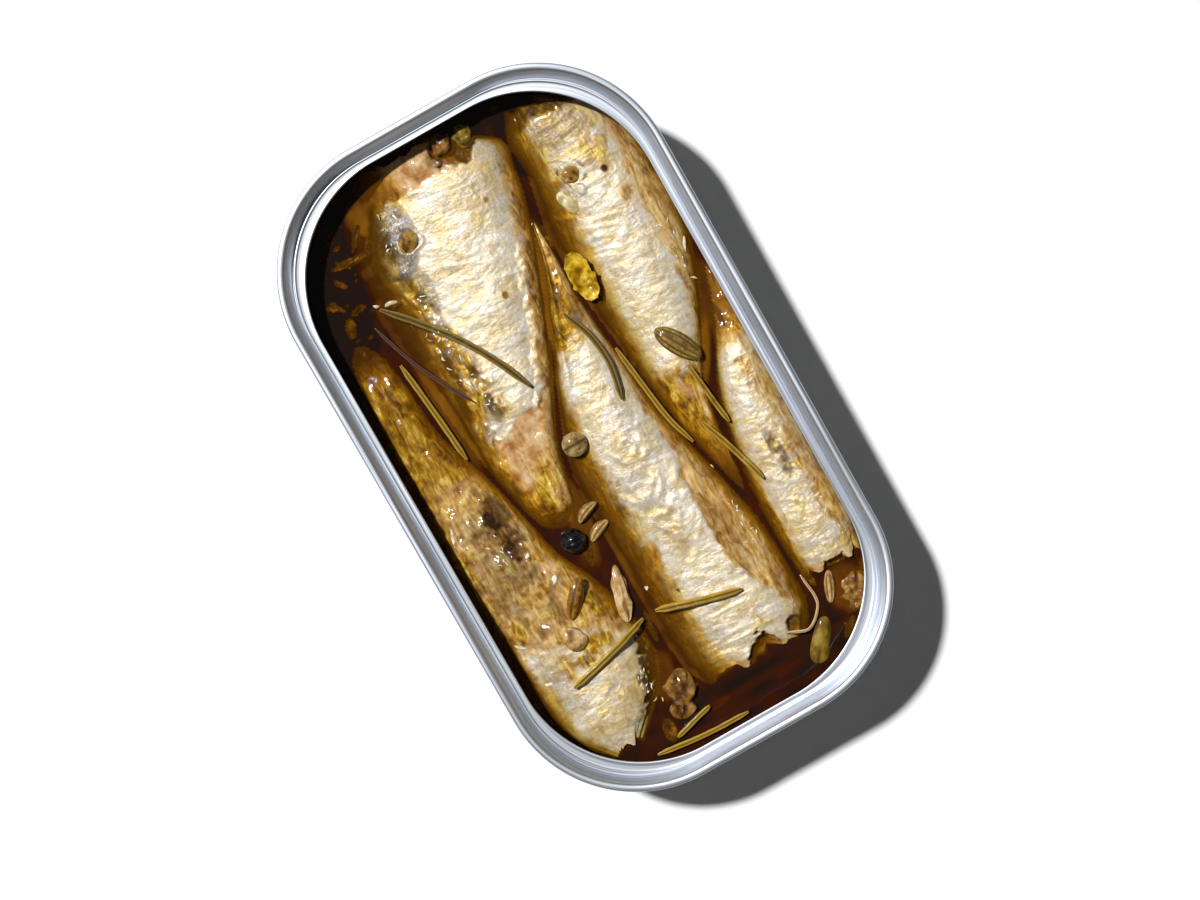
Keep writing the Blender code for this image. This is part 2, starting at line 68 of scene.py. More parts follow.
# The view of the photograph, nearly straight down on the tin, which lies askew in the picture.
# A pixel here is one of a picture 1200 wide and 900 high.
PICTURE_SIZE = (1200.0, 900.0)
RIM_MIDDLE_PIXEL = (588.1, 431.4)
PIXELS_PER_METRE = 6880.0
CAMERA_DISTANCE = 0.400
CAMERA_TILT = math.radians(5.1)
TIN_TURN = math.radians(60.4)

show = bpy.context.scene.collection.objects.link
rim_middle = Vector((0.0, 0.0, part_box("lid_ring")[1].z))
along = Vector((math.cos(CAMERA_TILT), 0.0, math.sin(CAMERA_TILT)))
across = Vector((0.0, 1.0, 0.0))
right = along * math.cos(TIN_TURN) + across * math.sin(TIN_TURN)
up = across * math.cos(TIN_TURN) - along * math.sin(TIN_TURN)
back = right.cross(up)
lens = bpy.data.cameras.new("camera")
lens.lens = lens.sensor_width * PIXELS_PER_METRE * CAMERA_DISTANCE / PICTURE_SIZE[0]
camera = bpy.data.objects.new("camera", lens)
aside = (PICTURE_SIZE[0] / 2 - RIM_MIDDLE_PIXEL[0]) / PIXELS_PER_METRE
below = (PICTURE_SIZE[1] / 2 - RIM_MIDDLE_PIXEL[1]) / PIXELS_PER_METRE
camera.location = rim_middle + back * CAMERA_DISTANCE + right * aside - up * below
camera.rotation_euler = Matrix((right, up, back)).transposed().to_euler()
show(camera)
bpy.context.scene.camera = camera

# The light: one small bright lamp high up towards the heads of the upper fish, and a dim pale
# room. The floor is white card.
LAMP_TRAVEL = (0.52, 0.283, -1.0)
LAMP_STRENGTH = 4.0
LAMP_SPREAD = math.radians(3.0)
ROOM_LIGHT = 0.07
FLOOR_SIDE = 3.0
FLOOR_WHITE = (0.87, 0.87, 0.87)
FLOOR_ROUGHNESS = 0.9

lamp = bpy.data.objects.new("lamp", bpy.data.lights.new("lamp", "SUN"))
lamp.data.energy = LAMP_STRENGTH
lamp.data.angle = LAMP_SPREAD
lamp.location = (0, 0, 1)
lamp.rotation_euler = (-Vector(LAMP_TRAVEL)).to_track_quat("Z", "Y").to_euler()
show(lamp)
room = bpy.data.worlds.new("room")
room.use_nodes = True
room.node_tree.nodes["Background"].inputs["Color"].default_value = (1.0, 1.0, 1.0, 1.0)
room.node_tree.nodes["Background"].inputs["Strength"].default_value = ROOM_LIGHT
bpy.context.scene.world = room
bpy.context.scene.view_settings.view_transform = "Standard"


def new_material(name, colour, roughness, metallic=0.0, coat=0.0, coat_roughness=0.05, specular=0.5):
    """A Principled material with its plain values on the shader's own sockets."""
    made = bpy.data.materials.new(name)
    made.use_nodes = True
    shader = made.node_tree.nodes["Principled BSDF"]
    values = {"Base Color": (*colour, 1.0), "Roughness": roughness, "Metallic": metallic,
              "Coat Weight": coat, "Coat Roughness": coat_roughness, "Specular IOR Level": specular}
    for key, value in values.items():
        shader.inputs[key].default_value = value
    return made, shader, made.node_tree


floor_mesh = bpy.data.meshes.new("floor")
reach = FLOOR_SIDE / 2
floor_corners = [(-reach, -reach, 0), (reach, -reach, 0), (reach, reach, 0), (-reach, reach, 0)]
floor_mesh.from_pydata(floor_corners, [], [(0, 1, 2, 3)])
floor = bpy.data.objects.new("floor", floor_mesh)
show(floor)
floor_mesh.materials.append(new_material("white_card", FLOOR_WHITE, FLOOR_ROUGHNESS)[0])

# The can: one sheet of aluminium drawn into an oblong cup with round corners, standing on a flat
# ring round a raised panel. Its wall leans in a little, and the drawing leaves fine upright lines.
TIN_LENGTH = cad_box[1].x - cad_box[0].x
TIN_WIDTH = cad_box[1].y - cad_box[0].y
TIN_HEIGHT = cad_box[1].z - cad_box[0].z
CORNER_RADIUS = 20.6 * MM
CORNER_STEPS = 40
SIDE_STEPS = 12
METAL = 0.5 * MM
SEAM_OVERHANG = 0.75 * MM
WALL_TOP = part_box("can_body")[1].z
WALL_LEAN = 0.35 * MM
FOOT_RADIUS = 2.2 * MM
FOOT_STEPS = 9
FOOT_RING = 4.5 * MM
PANEL_RISE = 0.6 * MM
PANEL_SHOWN = 12 * MM
# Over this band the rim's painted edge shade fades out
SEAM_SHADE_BAND = (0.22 * MM, 0.42 * MM)


def put(tree, socket, value):
    """A plain value, or another node's output, on a socket."""
    if isinstance(value, bpy.types.NodeSocket):
        tree.links.new(value, socket)
    else:
        socket.default_value = value


def add_node(tree, kind, settings=None, **inputs):
    """A shader node with its settings and its inputs."""
    made = tree.nodes.new("ShaderNode" + kind)
    for key, value in (settings or {}).items():
        setattr(made, key, value)
    for key, value in inputs.items():
        put(tree, made.inputs[key.replace("_", " ")], value)
    return made


def noise(tree, place, scale, detail, roughness=0.5, distortion=0.0):
    """Random tones from 0 to 1 over a place."""
    return add_node(tree, "TexNoise", Vector=place, Scale=scale, Detail=detail, Roughness=roughness,
                    Distortion=distortion).outputs["Fac"]


def field(tree, name, kind="Fac"):
    """A field that the mesh carries, as a value or with kind Vector."""
    return add_node(tree, "Attribute", {"attribute_name": name}).outputs[kind]


def ranged(tree, value, low, high, start=0.0, end=1.0):
    """A value between start and end carried over to between low and high."""
    return add_node(tree, "MapRange", Value=value, From_Min=start, From_Max=end, To_Min=low,
                    To_Max=high).outputs["Result"]


def bump(tree, shader, height, strength, depth):
    """Relief by a height from 0 to 1, that many metres deep, on the shader's normal."""
    made = add_node(tree, "Bump", Strength=strength, Distance=depth, Height=height)
    put(tree, shader.inputs["Normal"], made.outputs["Normal"])


def new_group(name, inputs, outputs):
    """A shader node group with its named sockets, as the group, what it is given and its result."""
    group = bpy.data.node_groups.new(name, "ShaderNodeTree")
    for way, sockets in (("INPUT", inputs), ("OUTPUT", outputs)):
        for socket, kind in sockets.items():
            group.interface.new_socket(socket, in_out=way, socket_type="NodeSocket" + kind)
    return group, group.nodes.new("NodeGroupInput").outputs, group.nodes.new("NodeGroupOutput").inputs


# The shared effect of worked metal: thin lines and a slow cloudiness, from 0 to 1
brush_lines, given, result = new_group("brush_lines", {"Place": "Vector", "Stretch": "Vector"},
                                       {"Lines": "Float", "Cloud": "Float"})
drawn_out = add_node(brush_lines, "VectorMath", {"operation": "MULTIPLY"}, Vector=given["Place"])
put(brush_lines, drawn_out.inputs[1], given["Stretch"])
put(brush_lines, result["Lines"], noise(brush_lines, drawn_out.outputs["Vector"], 1.0, 3.0))
put(brush_lines, result["Cloud"], noise(brush_lines, given["Place"], 120.0, 2.0))


def brushed_metal(name, colour, roughness, lines_along, depth, darkest_line, painted_edge_shade=1.0):
    """Aluminium with fine lines: noise drawn out along the lines drives its tone, gloss and bump.

    The edge shade darkens the outermost 0.3 mm: painted shade, standing for the dark reflection on the outer
    side of a rolled seam.
    """
    metal, shader, tree = new_material(name, colour, roughness, metallic=1.0)
    place = field(tree, "run", "Vector")
    made = add_node(tree, "Group", {"node_tree": brush_lines}, Place=place, Stretch=lines_along)
    lines, cloud = made.outputs["Lines"], made.outputs["Cloud"]
    tint = ranged(tree, cloud, 0.86, 1.04)
    lined = ranged(tree, lines, darkest_line, tint, 0.36, 0.56)
    inwards = add_node(tree, "SeparateXYZ", Vector=place).outputs["Y"]
    # Painted shade: the outermost edge is darker in colour, for the seam's dark reflection
    seam_shade_share = ranged(tree, inwards, painted_edge_shade, 1.0, *SEAM_SHADE_BAND)
    shade = colour
    for share in (lined, seam_shade_share):
        shade = add_node(tree, "VectorMath", {"operation": "SCALE"}, Vector=shade,
                         Scale=share).outputs["Vector"]
    put(tree, shader.inputs["Base Color"], shade)
    put(tree, shader.inputs["Roughness"], ranged(tree, lines, roughness - 0.08, roughness + 0.14))
    bump(tree, shader, lines, 0.5, depth)
    return metal


def tin_outline(inset, extra=0.0):
    """A rounded rectangle inset from the tin's outer edge, counter-clockwise, as (n, 2).

    Each corner is a quarter circle, extra rounder than a plain inset, and each side is straight.
    """
    half = np.array((TIN_LENGTH / 2 - inset, TIN_WIDTH / 2 - inset))
    radius = CORNER_RADIUS - inset + extra
    turn = np.radians(np.linspace(0, 90, CORNER_STEPS + 1))
    pieces = []
    for quarter, sign in enumerate(((1, 1), (-1, 1), (-1, -1), (1, -1))):
        angle = turn + math.pi / 2 * quarter
        corner = np.stack((np.cos(angle), np.sin(angle)), 1) * radius + np.array(sign) * (half - radius)
        pieces.append(corner)
    filled = []
    for first, second in zip(pieces, pieces[1:] + pieces[:1]):
        share = np.linspace(0, 1, SIDE_STEPS + 1)[1:-1, None]
        filled += [first, first[-1] * (1 - share) + second[0] * share]
    return np.concatenate(filled)


def round_off(profile, times, closed):
    """Corner cutting: each side keeps its middle half, so a sharp profile turns into curves."""
    points = np.array(profile, float)
    for _ in range(times):
        following = np.roll(points, -1, 0) if closed else points[1:]
        before = points if closed else points[:-1]
        cut = np.stack((0.75 * before + 0.25 * following, 0.25 * before + 0.75 * following), 1)
        cut = cut.reshape(-1, points.shape[1])
        points = cut if closed else np.concatenate((points[:1], cut, points[-1:]))
    return points


def finish_piece(name, mesh, finish, fields, replaces=()):
    """The mesh as a smooth piece of the tin, with its fields, (n, 1) or (n, 3), and its finish."""
    for key, values in fields.items():
        kind, member = ("FLOAT", "value") if values.shape[1] == 1 else ("FLOAT_VECTOR", "vector")
        mesh.attributes.new(key, kind, "POINT").data.foreach_set(member, values.ravel())
    mesh.shade_smooth()
    mesh.materials.append(finish)
    piece = bpy.data.objects.new(name, mesh)
    show(piece)
    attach(piece, "root")
    if replaces:
        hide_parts(*replaces)
    return piece


def add_piece(name, rows, finish, fields, replaces=(), closed=False):
    """A surface from an array of closed rows of points, (m, n, 3): each row is joined to the next.

    closed joins the last row to the first, and otherwise each end is capped by a fan to its middle.
    fields are values for each point, as (m, n) or (m, n, 3). Faces that point inwards, as a negative
    volume shows, are turned round.
    """
    m, n = rows.shape[:2]
    index = np.arange(m * n).reshape(m, n)
    first = index if closed else index[:-1]
    second = np.roll(index, -1, 0) if closed else index[1:]
    quads = np.stack((first, second, np.roll(second, -1, 1), np.roll(first, -1, 1)), -1)
    faces = quads.reshape(-1, 4).tolist()
    points = rows.reshape(-1, 3)
    flat = {key: np.asarray(values, float).reshape(m * n, -1) for key, values in fields.items()}
    if not closed:
        points = np.concatenate((points, rows[0].mean(0)[None], rows[-1].mean(0)[None]))
        faces += [(m * n, a, b) for a, b in zip(index[0], np.roll(index[0], -1))]
        faces += [(m * n + 1, b, a) for a, b in zip(index[-1], np.roll(index[-1], -1))]
        flat = {key: np.concatenate((values, values[:n].mean(0)[None], values[-n:].mean(0)[None]))
                for key, values in flat.items()}
    corners = points[np.array([face[:3] for face in faces])]
    lasts = points[np.array([(face[0], face[-2], face[-1]) for face in faces])]
    volume = sum(np.einsum("ij,ij->i", part[:, 0], np.cross(part[:, 1], part[:, 2])).sum()
                 for part in (corners, lasts[[len(face) == 4 for face in faces]]))
    if volume < 0:
        faces = [face[::-1] for face in faces]
    mesh = bpy.data.meshes.new(name)
    mesh.from_pydata(points, [], faces)
    return finish_piece(name, mesh, finish, flat, replaces)


def sweep_round(profile):
    """A profile of (inset, height, extra) carried round the tin, with its run and its reach."""
    around = 4 * (CORNER_STEPS + SIDE_STEPS)
    rows = np.stack([np.column_stack((tin_outline(inset, extra), np.full(around, height)))
                     for inset, height, extra in profile])
    steps = np.linalg.norm(np.roll(rows, -1, 1) - rows, axis=2)
    run = np.cumsum(steps, 1) - steps
    reach_in = np.broadcast_to(profile[:, :1], run.shape)
    return rows, np.stack((run, reach_in, rows[:, :, 2]), -1)


def can_profile():
    """From the middle of the floor inside, up the wall, over its top and down to the panel."""
    lean = WALL_LEAN * (WALL_TOP - FOOT_RADIUS) / WALL_TOP
    foot = SEAM_OVERHANG + lean
    ring_end = foot + FOOT_RADIUS + FOOT_RING
    arc = np.radians(np.linspace(90, 0, FOOT_STEPS))
    inner = FOOT_RADIUS - METAL
    inside = [(ring_end + PANEL_SHOWN, METAL + PANEL_RISE), (ring_end + PANEL_RISE, METAL + PANEL_RISE),
              (ring_end, METAL)]
    inside += [(foot + METAL + inner * (1 - math.cos(a)), METAL + inner * (1 - math.sin(a))) for a in arc]
    inside += [(SEAM_OVERHANG + METAL, WALL_TOP)]
    outside = [(SEAM_OVERHANG, WALL_TOP)]
    outside += [(foot + FOOT_RADIUS * (1 - math.cos(a)), FOOT_RADIUS * (1 - math.sin(a))) for a in arc[::-1]]
    outside += [(ring_end, 0.0), (ring_end + PANEL_RISE, PANEL_RISE), (ring_end + PANEL_SHOWN, PANEL_RISE)]
    flat = round_off(inside + outside, 2, False)
    return np.column_stack((flat, np.zeros(len(flat))))


drawn_metal = brushed_metal("drawn_aluminium", (0.74, 0.75, 0.77), 0.30, (4000.0, 400.0, 90.0),
                            0.03 * MM, 0.95)
can_rows, can_run = sweep_round(can_profile())
add_piece("can", can_rows, drawn_metal, {"run": can_run}, ("can_body",))

# The lid's ring: the rolled double seam, the sloping chuck wall inside it, a thin bead and the
# narrow ledge left where the panel was torn out along its score. Its lines run round the tin.
SEAM_THICKNESS = 1.15 * MM
SEAM_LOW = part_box("lid_ring")[0].z
SEAM_CROWN = 0.3 * MM
CHUCK_FOOT = 2.1 * MM
LEDGE_TOP = 21.6 * MM
LEDGE_METAL = 0.35 * MM
LEDGE_EDGE = 3.3 * MM
LEDGE_CORNER_EXTRA = 2.2 * MM
BEAD = 0.09 * MM

ring_profile = round_off([
    (0.0, SEAM_LOW + SEAM_CROWN),
    (0.0, TIN_HEIGHT - 1.5 * SEAM_CROWN),
    (0.3 * SEAM_CROWN, TIN_HEIGHT - 0.3 * SEAM_CROWN),
    (1.3 * SEAM_CROWN, TIN_HEIGHT),
    (SEAM_THICKNESS - 1.2 * SEAM_CROWN, TIN_HEIGHT),
    (SEAM_THICKNESS - 0.1 * SEAM_CROWN, TIN_HEIGHT - 0.5 * SEAM_CROWN),
    (SEAM_THICKNESS + 0.1 * MM, TIN_HEIGHT - 1.8 * SEAM_CROWN),
    (CHUCK_FOOT - 0.25 * MM, LEDGE_TOP + 0.3 * MM),
    (CHUCK_FOOT - 0.05 * MM, LEDGE_TOP - 0.02 * MM),
    (CHUCK_FOOT + 0.10 * MM, LEDGE_TOP - 0.04 * MM),
    (CHUCK_FOOT + 0.16 * MM, LEDGE_TOP + BEAD),
    (CHUCK_FOOT + 0.30 * MM, LEDGE_TOP + BEAD),
    (CHUCK_FOOT + 0.36 * MM, LEDGE_TOP - 0.02 * MM),
    (LEDGE_EDGE - 0.30 * MM, LEDGE_TOP - 0.02 * MM),
    (LEDGE_EDGE - 0.14 * MM, LEDGE_TOP + 0.7 * BEAD),
    (LEDGE_EDGE, LEDGE_TOP),
    (LEDGE_EDGE, LEDGE_TOP - 0.6 * LEDGE_METAL),
    (LEDGE_EDGE - 0.1 * MM, LEDGE_TOP - LEDGE_METAL),
    (CHUCK_FOOT, LEDGE_TOP - LEDGE_METAL),
    (SEAM_THICKNESS + 0.5 * MM, SEAM_LOW + 0.1 * MM),
    (SEAM_THICKNESS - 0.1 * MM, SEAM_LOW),
    (SEAM_CROWN, SEAM_LOW),
], 3, True)
roundness = np.clip((ring_profile[:, 0] - CHUCK_FOOT) / (LEDGE_EDGE - CHUCK_FOOT), 0, 1)
ring_rows, ring_run = sweep_round(np.column_stack((ring_profile, LEDGE_CORNER_EXTRA * roundness)))
# The ring's outermost edge gets a painted shade, for the dark reflection on the seam's outer side
rolled_metal = brushed_metal("rolled_aluminium", (0.77, 0.81, 0.88), 0.42, (40.0, 3800.0, 3800.0),
                             0.02 * MM, 0.72, painted_edge_shade=0.8)
add_piece("rim", ring_rows, rolled_metal, {"run": ring_run}, ("lid_ring",), closed=True)

# The fish: headless sardines, side by side in the oil. Their silver skin is thin and crinkled, has
# gone golden where the oil stains it, and is torn off the flesh at the cut ends and along the backs.
# Slices are in millimetres: place along X, low and high edge across Y, and height of the crest.
SECTION_POWER = 2.3
DEPTH_PER_WIDTH = 0.55
LEAST_DEPTH = 2.0
DEEPEST_FISH = 12.5
SHARE_ABOVE_FLANK = 0.48
OIL_LEVEL = 16.8
LINE_STEPS = 300
SECTION_STEPS = 81
FISH_ROWS = 380
FISH_COLUMNS = 210
LATTICE = 128
SEED_STEP = 11
PATTERN_SHIFT = 40.0
TOP_SHARE = 0.78
EASED_ENDS = 0.4
DISH_ROWS = 7
DISH_DEPTH = 1.6
TAIL_ROUND = 2.6
TAIL_LEAST = 0.25
SKIN_SLANT = math.radians(-14)
SKIN_THICKNESS = 0.16
FILM_HEIGHT = 0.35
DARK_DEPTH = 5.0
OIL_WOBBLE = 1.2 * MM
MASKS = ("bare", "tan", "gold", "grey", "dark")

FISH = {
    "fish_upper_left": {
        "head": "low",
        "slices": [
            (-48.0, -12.0, 1.5, 17.4), (-44.0, -16.0, 9.3, 18.1), (-38.0, -17.8, 9.7, 18.4),
            (-30.0, -18.6, 7.8, 18.4), (-20.0, -17.8, 4.3, 18.4), (-10.0, -16.8, 0.1, 18.2),
            (0.0, -15.4, -4.7, 17.8), (7.0, -13.8, -6.4, 17.4), (11.2, -12.5, -7.6, 17.1),
        ],
        "lean": 0.16,
        "hollows": [((-46.2, 3.4, 18.4), (3.6, 3.2, 3.4), 0.0)],
    },
    "fish_upper_right": {
        "head": "low",
        "slices": [
            (-45.6, 12.4, 19.5, 17.6), (-43.0, 10.8, 23.6, 18.1), (-37.0, 10.8, 27.0, 18.4),
            (-29.0, 9.3, 28.2, 18.4), (-20.0, 9.0, 28.0, 18.4), (-10.0, 10.0, 24.9, 18.2),
            (-3.0, 10.9, 21.6, 17.9), (3.0, 11.7, 18.6, 17.6), (10.0, 13.3, 17.2, 17.3),
            (19.5, 15.4, 16.3, 17.0),
        ],
        "lean": 0.14,
        "hollows": [],
    },
    "fish_middle": {
        "head": "high",
        "slices": [
            (-31.0, 8.1, 8.5, 17.0), (-25.0, 6.7, 8.6, 17.4), (-15.0, 2.7, 8.7, 17.8),
            (-5.0, -1.9, 9.8, 18.1), (4.0, -5.0, 10.9, 18.3), (15.0, -5.5, 13.7, 18.4),
            (25.0, -5.6, 15.7, 18.4), (35.0, -5.4, 16.1, 18.4), (40.0, -4.6, 15.4, 18.2),
            (42.6, -3.2, 13.6, 17.8),
        ],
        "lean": 0.14,
        "hollows": [((43.0, 6.8, 18.2), (3.2, 2.9, 3.2), -20.0), ((41.0, 12.6, 18.6), (2.2, 1.7, 2.4), 0.0)],
    },
    "fish_lower_left": {
        "head": "high",
        "slices": [
            (-27.0, -25.0, -21.8, 16.8), (-20.0, -26.4, -20.2, 17.0), (-10.0, -27.2, -19.3, 17.2),
            (0.0, -27.6, -16.1, 17.7), (8.0, -27.8, -14.2, 18.1), (14.0, -27.8, -12.8, 18.3),
            (20.0, -27.8, -10.0, 18.4), (28.0, -27.5, -7.7, 18.4), (35.0, -26.4, -7.6, 18.3),
            (40.5, -24.8, -10.8, 18.1), (44.6, -20.4, -15.4, 17.2),
        ],
        "lean": 0.05,
        "hollows": [
            ((7.5, -17.6, 18.8), (7.0, 1.6, 1.8), 3.0), ((41.6, -11.6, 18.4), (2.8, 1.5, 2.0), -35.0),
        ],
    },
    "fish_lower_right": {
        "head": "high",
        "slices": [
            (-13.0, 26.7, 27.5, 17.0), (-8.0, 25.4, 28.2, 17.3), (-2.0, 22.9, 28.2, 17.7),
            (4.0, 20.1, 28.2, 18.1), (10.0, 18.4, 28.2, 18.3), (16.0, 17.4, 28.2, 18.4),
            (24.0, 16.7, 28.2, 18.4), (31.0, 16.7, 28.1, 18.3), (35.4, 17.1, 27.0, 18.0),
        ],
        "lean": 0.12,
        "hollows": [((36.2, 22.6, 18.2), (2.2, 2.4, 2.4), 10.0)],
    },
}


def smooth_through(places, values, wanted):
    """A smooth curve through the given values, each slope set by its two neighbours."""
    slopes = np.gradient(values, places)
    slot = np.clip(np.searchsorted(places, wanted, side="right") - 1, 0, len(places) - 2)
    span = places[slot + 1] - places[slot]
    s = (wanted - places[slot]) / span
    return ((2 * s**3 - 3 * s**2 + 1) * values[slot] + (s**3 - 2 * s**2 + s) * span * slopes[slot]
            + (3 * s**2 - 2 * s**3) * values[slot + 1] + (s**3 - s**2) * span * slopes[slot + 1])


def wander(x, y, cell, seed):
    """Smooth random values from -1 to 1: a lattice of draws one cell apart, joined by soft steps."""
    draws = np.random.default_rng(seed).uniform(-1, 1, (LATTICE, LATTICE))
    u, v = np.asarray(x) / cell, np.asarray(y) / cell
    i, j = np.floor(u).astype(int), np.floor(v).astype(int)
    a, b = u - i, v - j
    a, b = a * a * (3 - 2 * a), b * b * (3 - 2 * b)
    beyond, above = (i + 1) % LATTICE, (j + 1) % LATTICE
    i, j = i % LATTICE, j % LATTICE
    near = draws[i, j] * (1 - a) + draws[beyond, j] * a
    far = draws[i, above] * (1 - a) + draws[beyond, above] * a
    return near * (1 - b) + far * b


def crease(x, y, cell, seed):
    """Sharp ridges with soft valleys, from -1 to 1: a wandering value folded at its zero line."""
    return 1 - 2 * np.abs(wander(x, y, cell, seed))


def step(low, high, value):
    """A soft step from 0 at low to 1 at high, which may run downwards."""
    t = np.clip((value - low) / (high - low), 0, 1)
    return t * t * (3 - 2 * t)


def most(*masks):
    """The strongest of several masks at each place."""
    return np.maximum.reduce(masks)


def oval_frame(x, y, middle, radii, turn):
    """A place as an oval sees it: how far along it and across it, each 1 at the oval's edge."""
    c, s = math.cos(math.radians(turn)), math.sin(math.radians(turn))
    return (((x - middle[0]) * c + (y - middle[1]) * s) / radii[0],
            ((y - middle[1]) * c - (x - middle[0]) * s) / radii[1])


def patch(x, y, middle, radii, turn=0.0):
    """A soft oval patch in plan, 1 in its middle and 0 beyond its edge."""
    return step(1.0, 0.55, np.hypot(*oval_frame(x, y, middle, radii, turn)))


def fish_lines(shape):
    """The fish's middle line, half width, heights above and below its flank, and flank height.

    The crest is the highest point of the leaned section, so the flank lies below it by as much.
    """
    places, lows, highs, crests = np.array(shape["slices"]).T
    x = np.linspace(places[0], places[-1], LINE_STEPS)
    low, high = smooth_through(places, lows, x), smooth_through(places, highs, x)
    half = (high - low) / 2
    depth = np.minimum(DEEPEST_FISH, DEPTH_PER_WIDTH * (high - low) + LEAST_DEPTH)
    rise = SHARE_ABOVE_FLANK * depth
    s = np.linspace(-1, 1, SECTION_STEPS)[:, None]
    section = rise * (1 - np.abs(s) ** SECTION_POWER) ** (1 / SECTION_POWER) + shape["lean"] * half * s
    flank = smooth_through(places, crests, x) - section.max(0)
    return x, np.stack(((low + high) / 2, half, rise, depth - rise, flank))


def crinkles(x, y, seed):
    """Relief of slack skin in millimetres: broad dents, slanting folds across the fish, fine creases.

    The folds come and go by patches.
    """
    slant = x * math.cos(SKIN_SLANT) + y * math.sin(SKIN_SLANT)
    girth = y * math.cos(SKIN_SLANT) - x * math.sin(SKIN_SLANT)
    slant = slant + 0.6 * wander(x, y, 2.9, seed + 5)
    share = step(-0.5, 0.6, wander(x, y, 6.0, seed + 6))
    dents = 0.14 * wander(slant, girth / 1.5, 4.4, seed) + 0.07 * wander(x, y, 1.7, seed + 1)
    folds = (0.02 + 0.035 * share) * crease(slant / 1.2, girth / 3.0, 1.0, seed + 2)
    fine = 0.03 * crease(x + 0.4 * y, y, 0.8, seed + 3)
    fine = fine + 0.022 * crease(slant / 0.55, girth / 1.5, 1.0, seed + 4)
    return dents + folds + fine


def carve(shape, x, y, z):
    """Where a hollow is, the surface drops to the bowl's floor. Also how deep inside one it is.

    The hollow's edge is ragged, and its floor is rough.
    """
    inside = np.zeros_like(z)
    for (cx, cy, cz), (rx, ry, rz), turn in shape["hollows"]:
        a, b = oval_frame(x, y, (cx, cy), (rx, ry), turn)
        apart = (a * a + b * b) * (1 + 0.5 * wander(x, y, 1.5, 801) + 0.25 * wander(x, y, 0.5, 802))
        bowl = cz - rz * np.sqrt(np.clip(1 - apart, 0, 1)) + 0.16 * wander(x, y, 0.7, 803)
        dropped = (apart < 1) & (z > bowl)
        z = np.where(dropped, bowl, z)
        inside = np.maximum(inside, step(1.15, 0.8, np.sqrt(apart)))
    return z, inside


def torn_ring(x, y, middle, radii, turn=0.0):
    """A ring of torn skin round a seed: 1 on its ragged lip, 0 inside and beyond."""
    apart = np.hypot(*oval_frame(x, y, middle, radii, turn))
    uneven = 0.34 * wander(x, y, 1.2, 811) + 0.14 * wander(x, y, 0.5, 812)
    return np.exp(-((apart - 1.12 + uneven) / 0.15) ** 2) * step(-0.55, -0.1, wander(x, y, 1.0, 813))


# Each fish's masks by place: x and y in plan, s across it from -1 to 1, edge the distance to its
# high side and n a ragged value from -1 to 1. low is how far the skin sinks, in millimetres.
def paint_upper_left(x, y, s, edge, n):
    """Silver with a tan back; bare flesh towards the tail and on the low flap left of the cut."""
    spot = partial(patch, x, y)
    cut = np.interp(y, (-20, -15, -9, -3, 2), (-39.5, -42.0, -43.2, -43.0, -42.4))
    flap = step(0.25, -0.25, x - cut + 0.7 * n) * step(1.5, 0.0, y)
    tail = step(-6.4, -5.6, x + 1.3 * n + 0.25 * (y + 8))
    dent = torn_ring(x, y, (-36.8, -9.2), (1.9, 1.6), -35)
    tan = step(3.6, 1.4, edge + 1.0 * n) * step(-45, -38, x) * (1 - 0.45 * tail)
    back = tan * step(-32, -26, x)
    film = step(-9.6, -12.4, y + 1.4 * n - 0.10 * (x + 30)) * step(-37, -31, x)
    film = film * np.maximum(step(-6, -9.5, x + n), step(-12.2, -13.2, y + n))
    gold = most(0.85 * film, step(-0.5, 4.5, x + 1.5 * n + 0.5 * (y + 9)),
                0.7 * flap * step(-7, -12, y + n), 0.35 * step(-30, -38, x) * step(-3, 2, y + n),
                0.9 * spot((-23, -0.7), (0.9, 0.7)), 0.5 * spot((-39, 1), (3.6, 2.4)) * step(-0.2, 0.3, n),
                spot((-43.4, -8.2), (1.0, 2.2)), 0.8 * spot((-36.5, 3.8), (0.8, 0.6)),
                0.5 * spot((-16, -7.2), (1.6, 0.9), 20))
    grey = 1.0 * spot((-37.5, -11.7), (7.8, 4.2), -18) * step(-0.9, 0.1, n)
    grey = grey + 0.8 * spot((-28, -10.6), (6, 1.8), -12)
    grey = grey + 0.5 * film * step(0.05, 0.45, wander(x / 1.8, y, 1.1, 823)) * step(6, 0, x)
    grey = grey + 0.28 * step(-31, -35, x)
    folded = step(-0.15, 0.3, wander(x / 2, y, 1.3, 822))
    # The dark spot by the rib bits at (-45.4, 0.2) is painted shade in the notch
    dark = most(0.75 * film * folded, 0.6 * step(9, 11, x), 0.6 * spot((-45.4, 0.2), (2.0, 2.0)),
                # painted shade in the crease along the skin's lower edge
                0.75 * spot((-38.0, -13.0), (7.0, 2.4), -10) * step(-0.35, 0.2, n),
                0.45 * spot((-38.0, -10.8), (5.5, 2.6), -15) * step(0.0, 0.45, wander(x, y / 2, 0.9, 825)),
                0.5 * spot((-36.5, 3.8), (0.5, 0.4)), 0.45 * spot((-23, -0.9), (0.6, 0.35)),
                0.5 * spot((-26.4, -10.6), (1.5, 0.5), 25), 0.7 * spot((-36.9, -9.2), (1.8, 1.45), -35))
    low = 0.5 * flap * step(-6, -11, y) + 2.2 * step(7.0, 11.2, x) - 0.35 * dent
    low = low - 0.95 * spot((-37.5, -11.6), (8.0, 4.2), -18)
    low = low + 0.45 * spot((-36.8, -9.2), (1.9, 1.6), -35) - 0.9 * back
    low = low - 0.45 * film * step(6, 0, x) + 0.3 * film * wander(x / 1.6, y, 1.2, 821)
    low = low + 0.2 * film * crease(x / 1.6, y, 0.8, 824)
    gold = gold * (1 - dent) * (1 - 0.8 * np.clip(grey, 0, 1))
    return np.maximum(tail, flap), tan * (1 - dent), gold, np.clip(grey - dent, 0, 1), dark, low


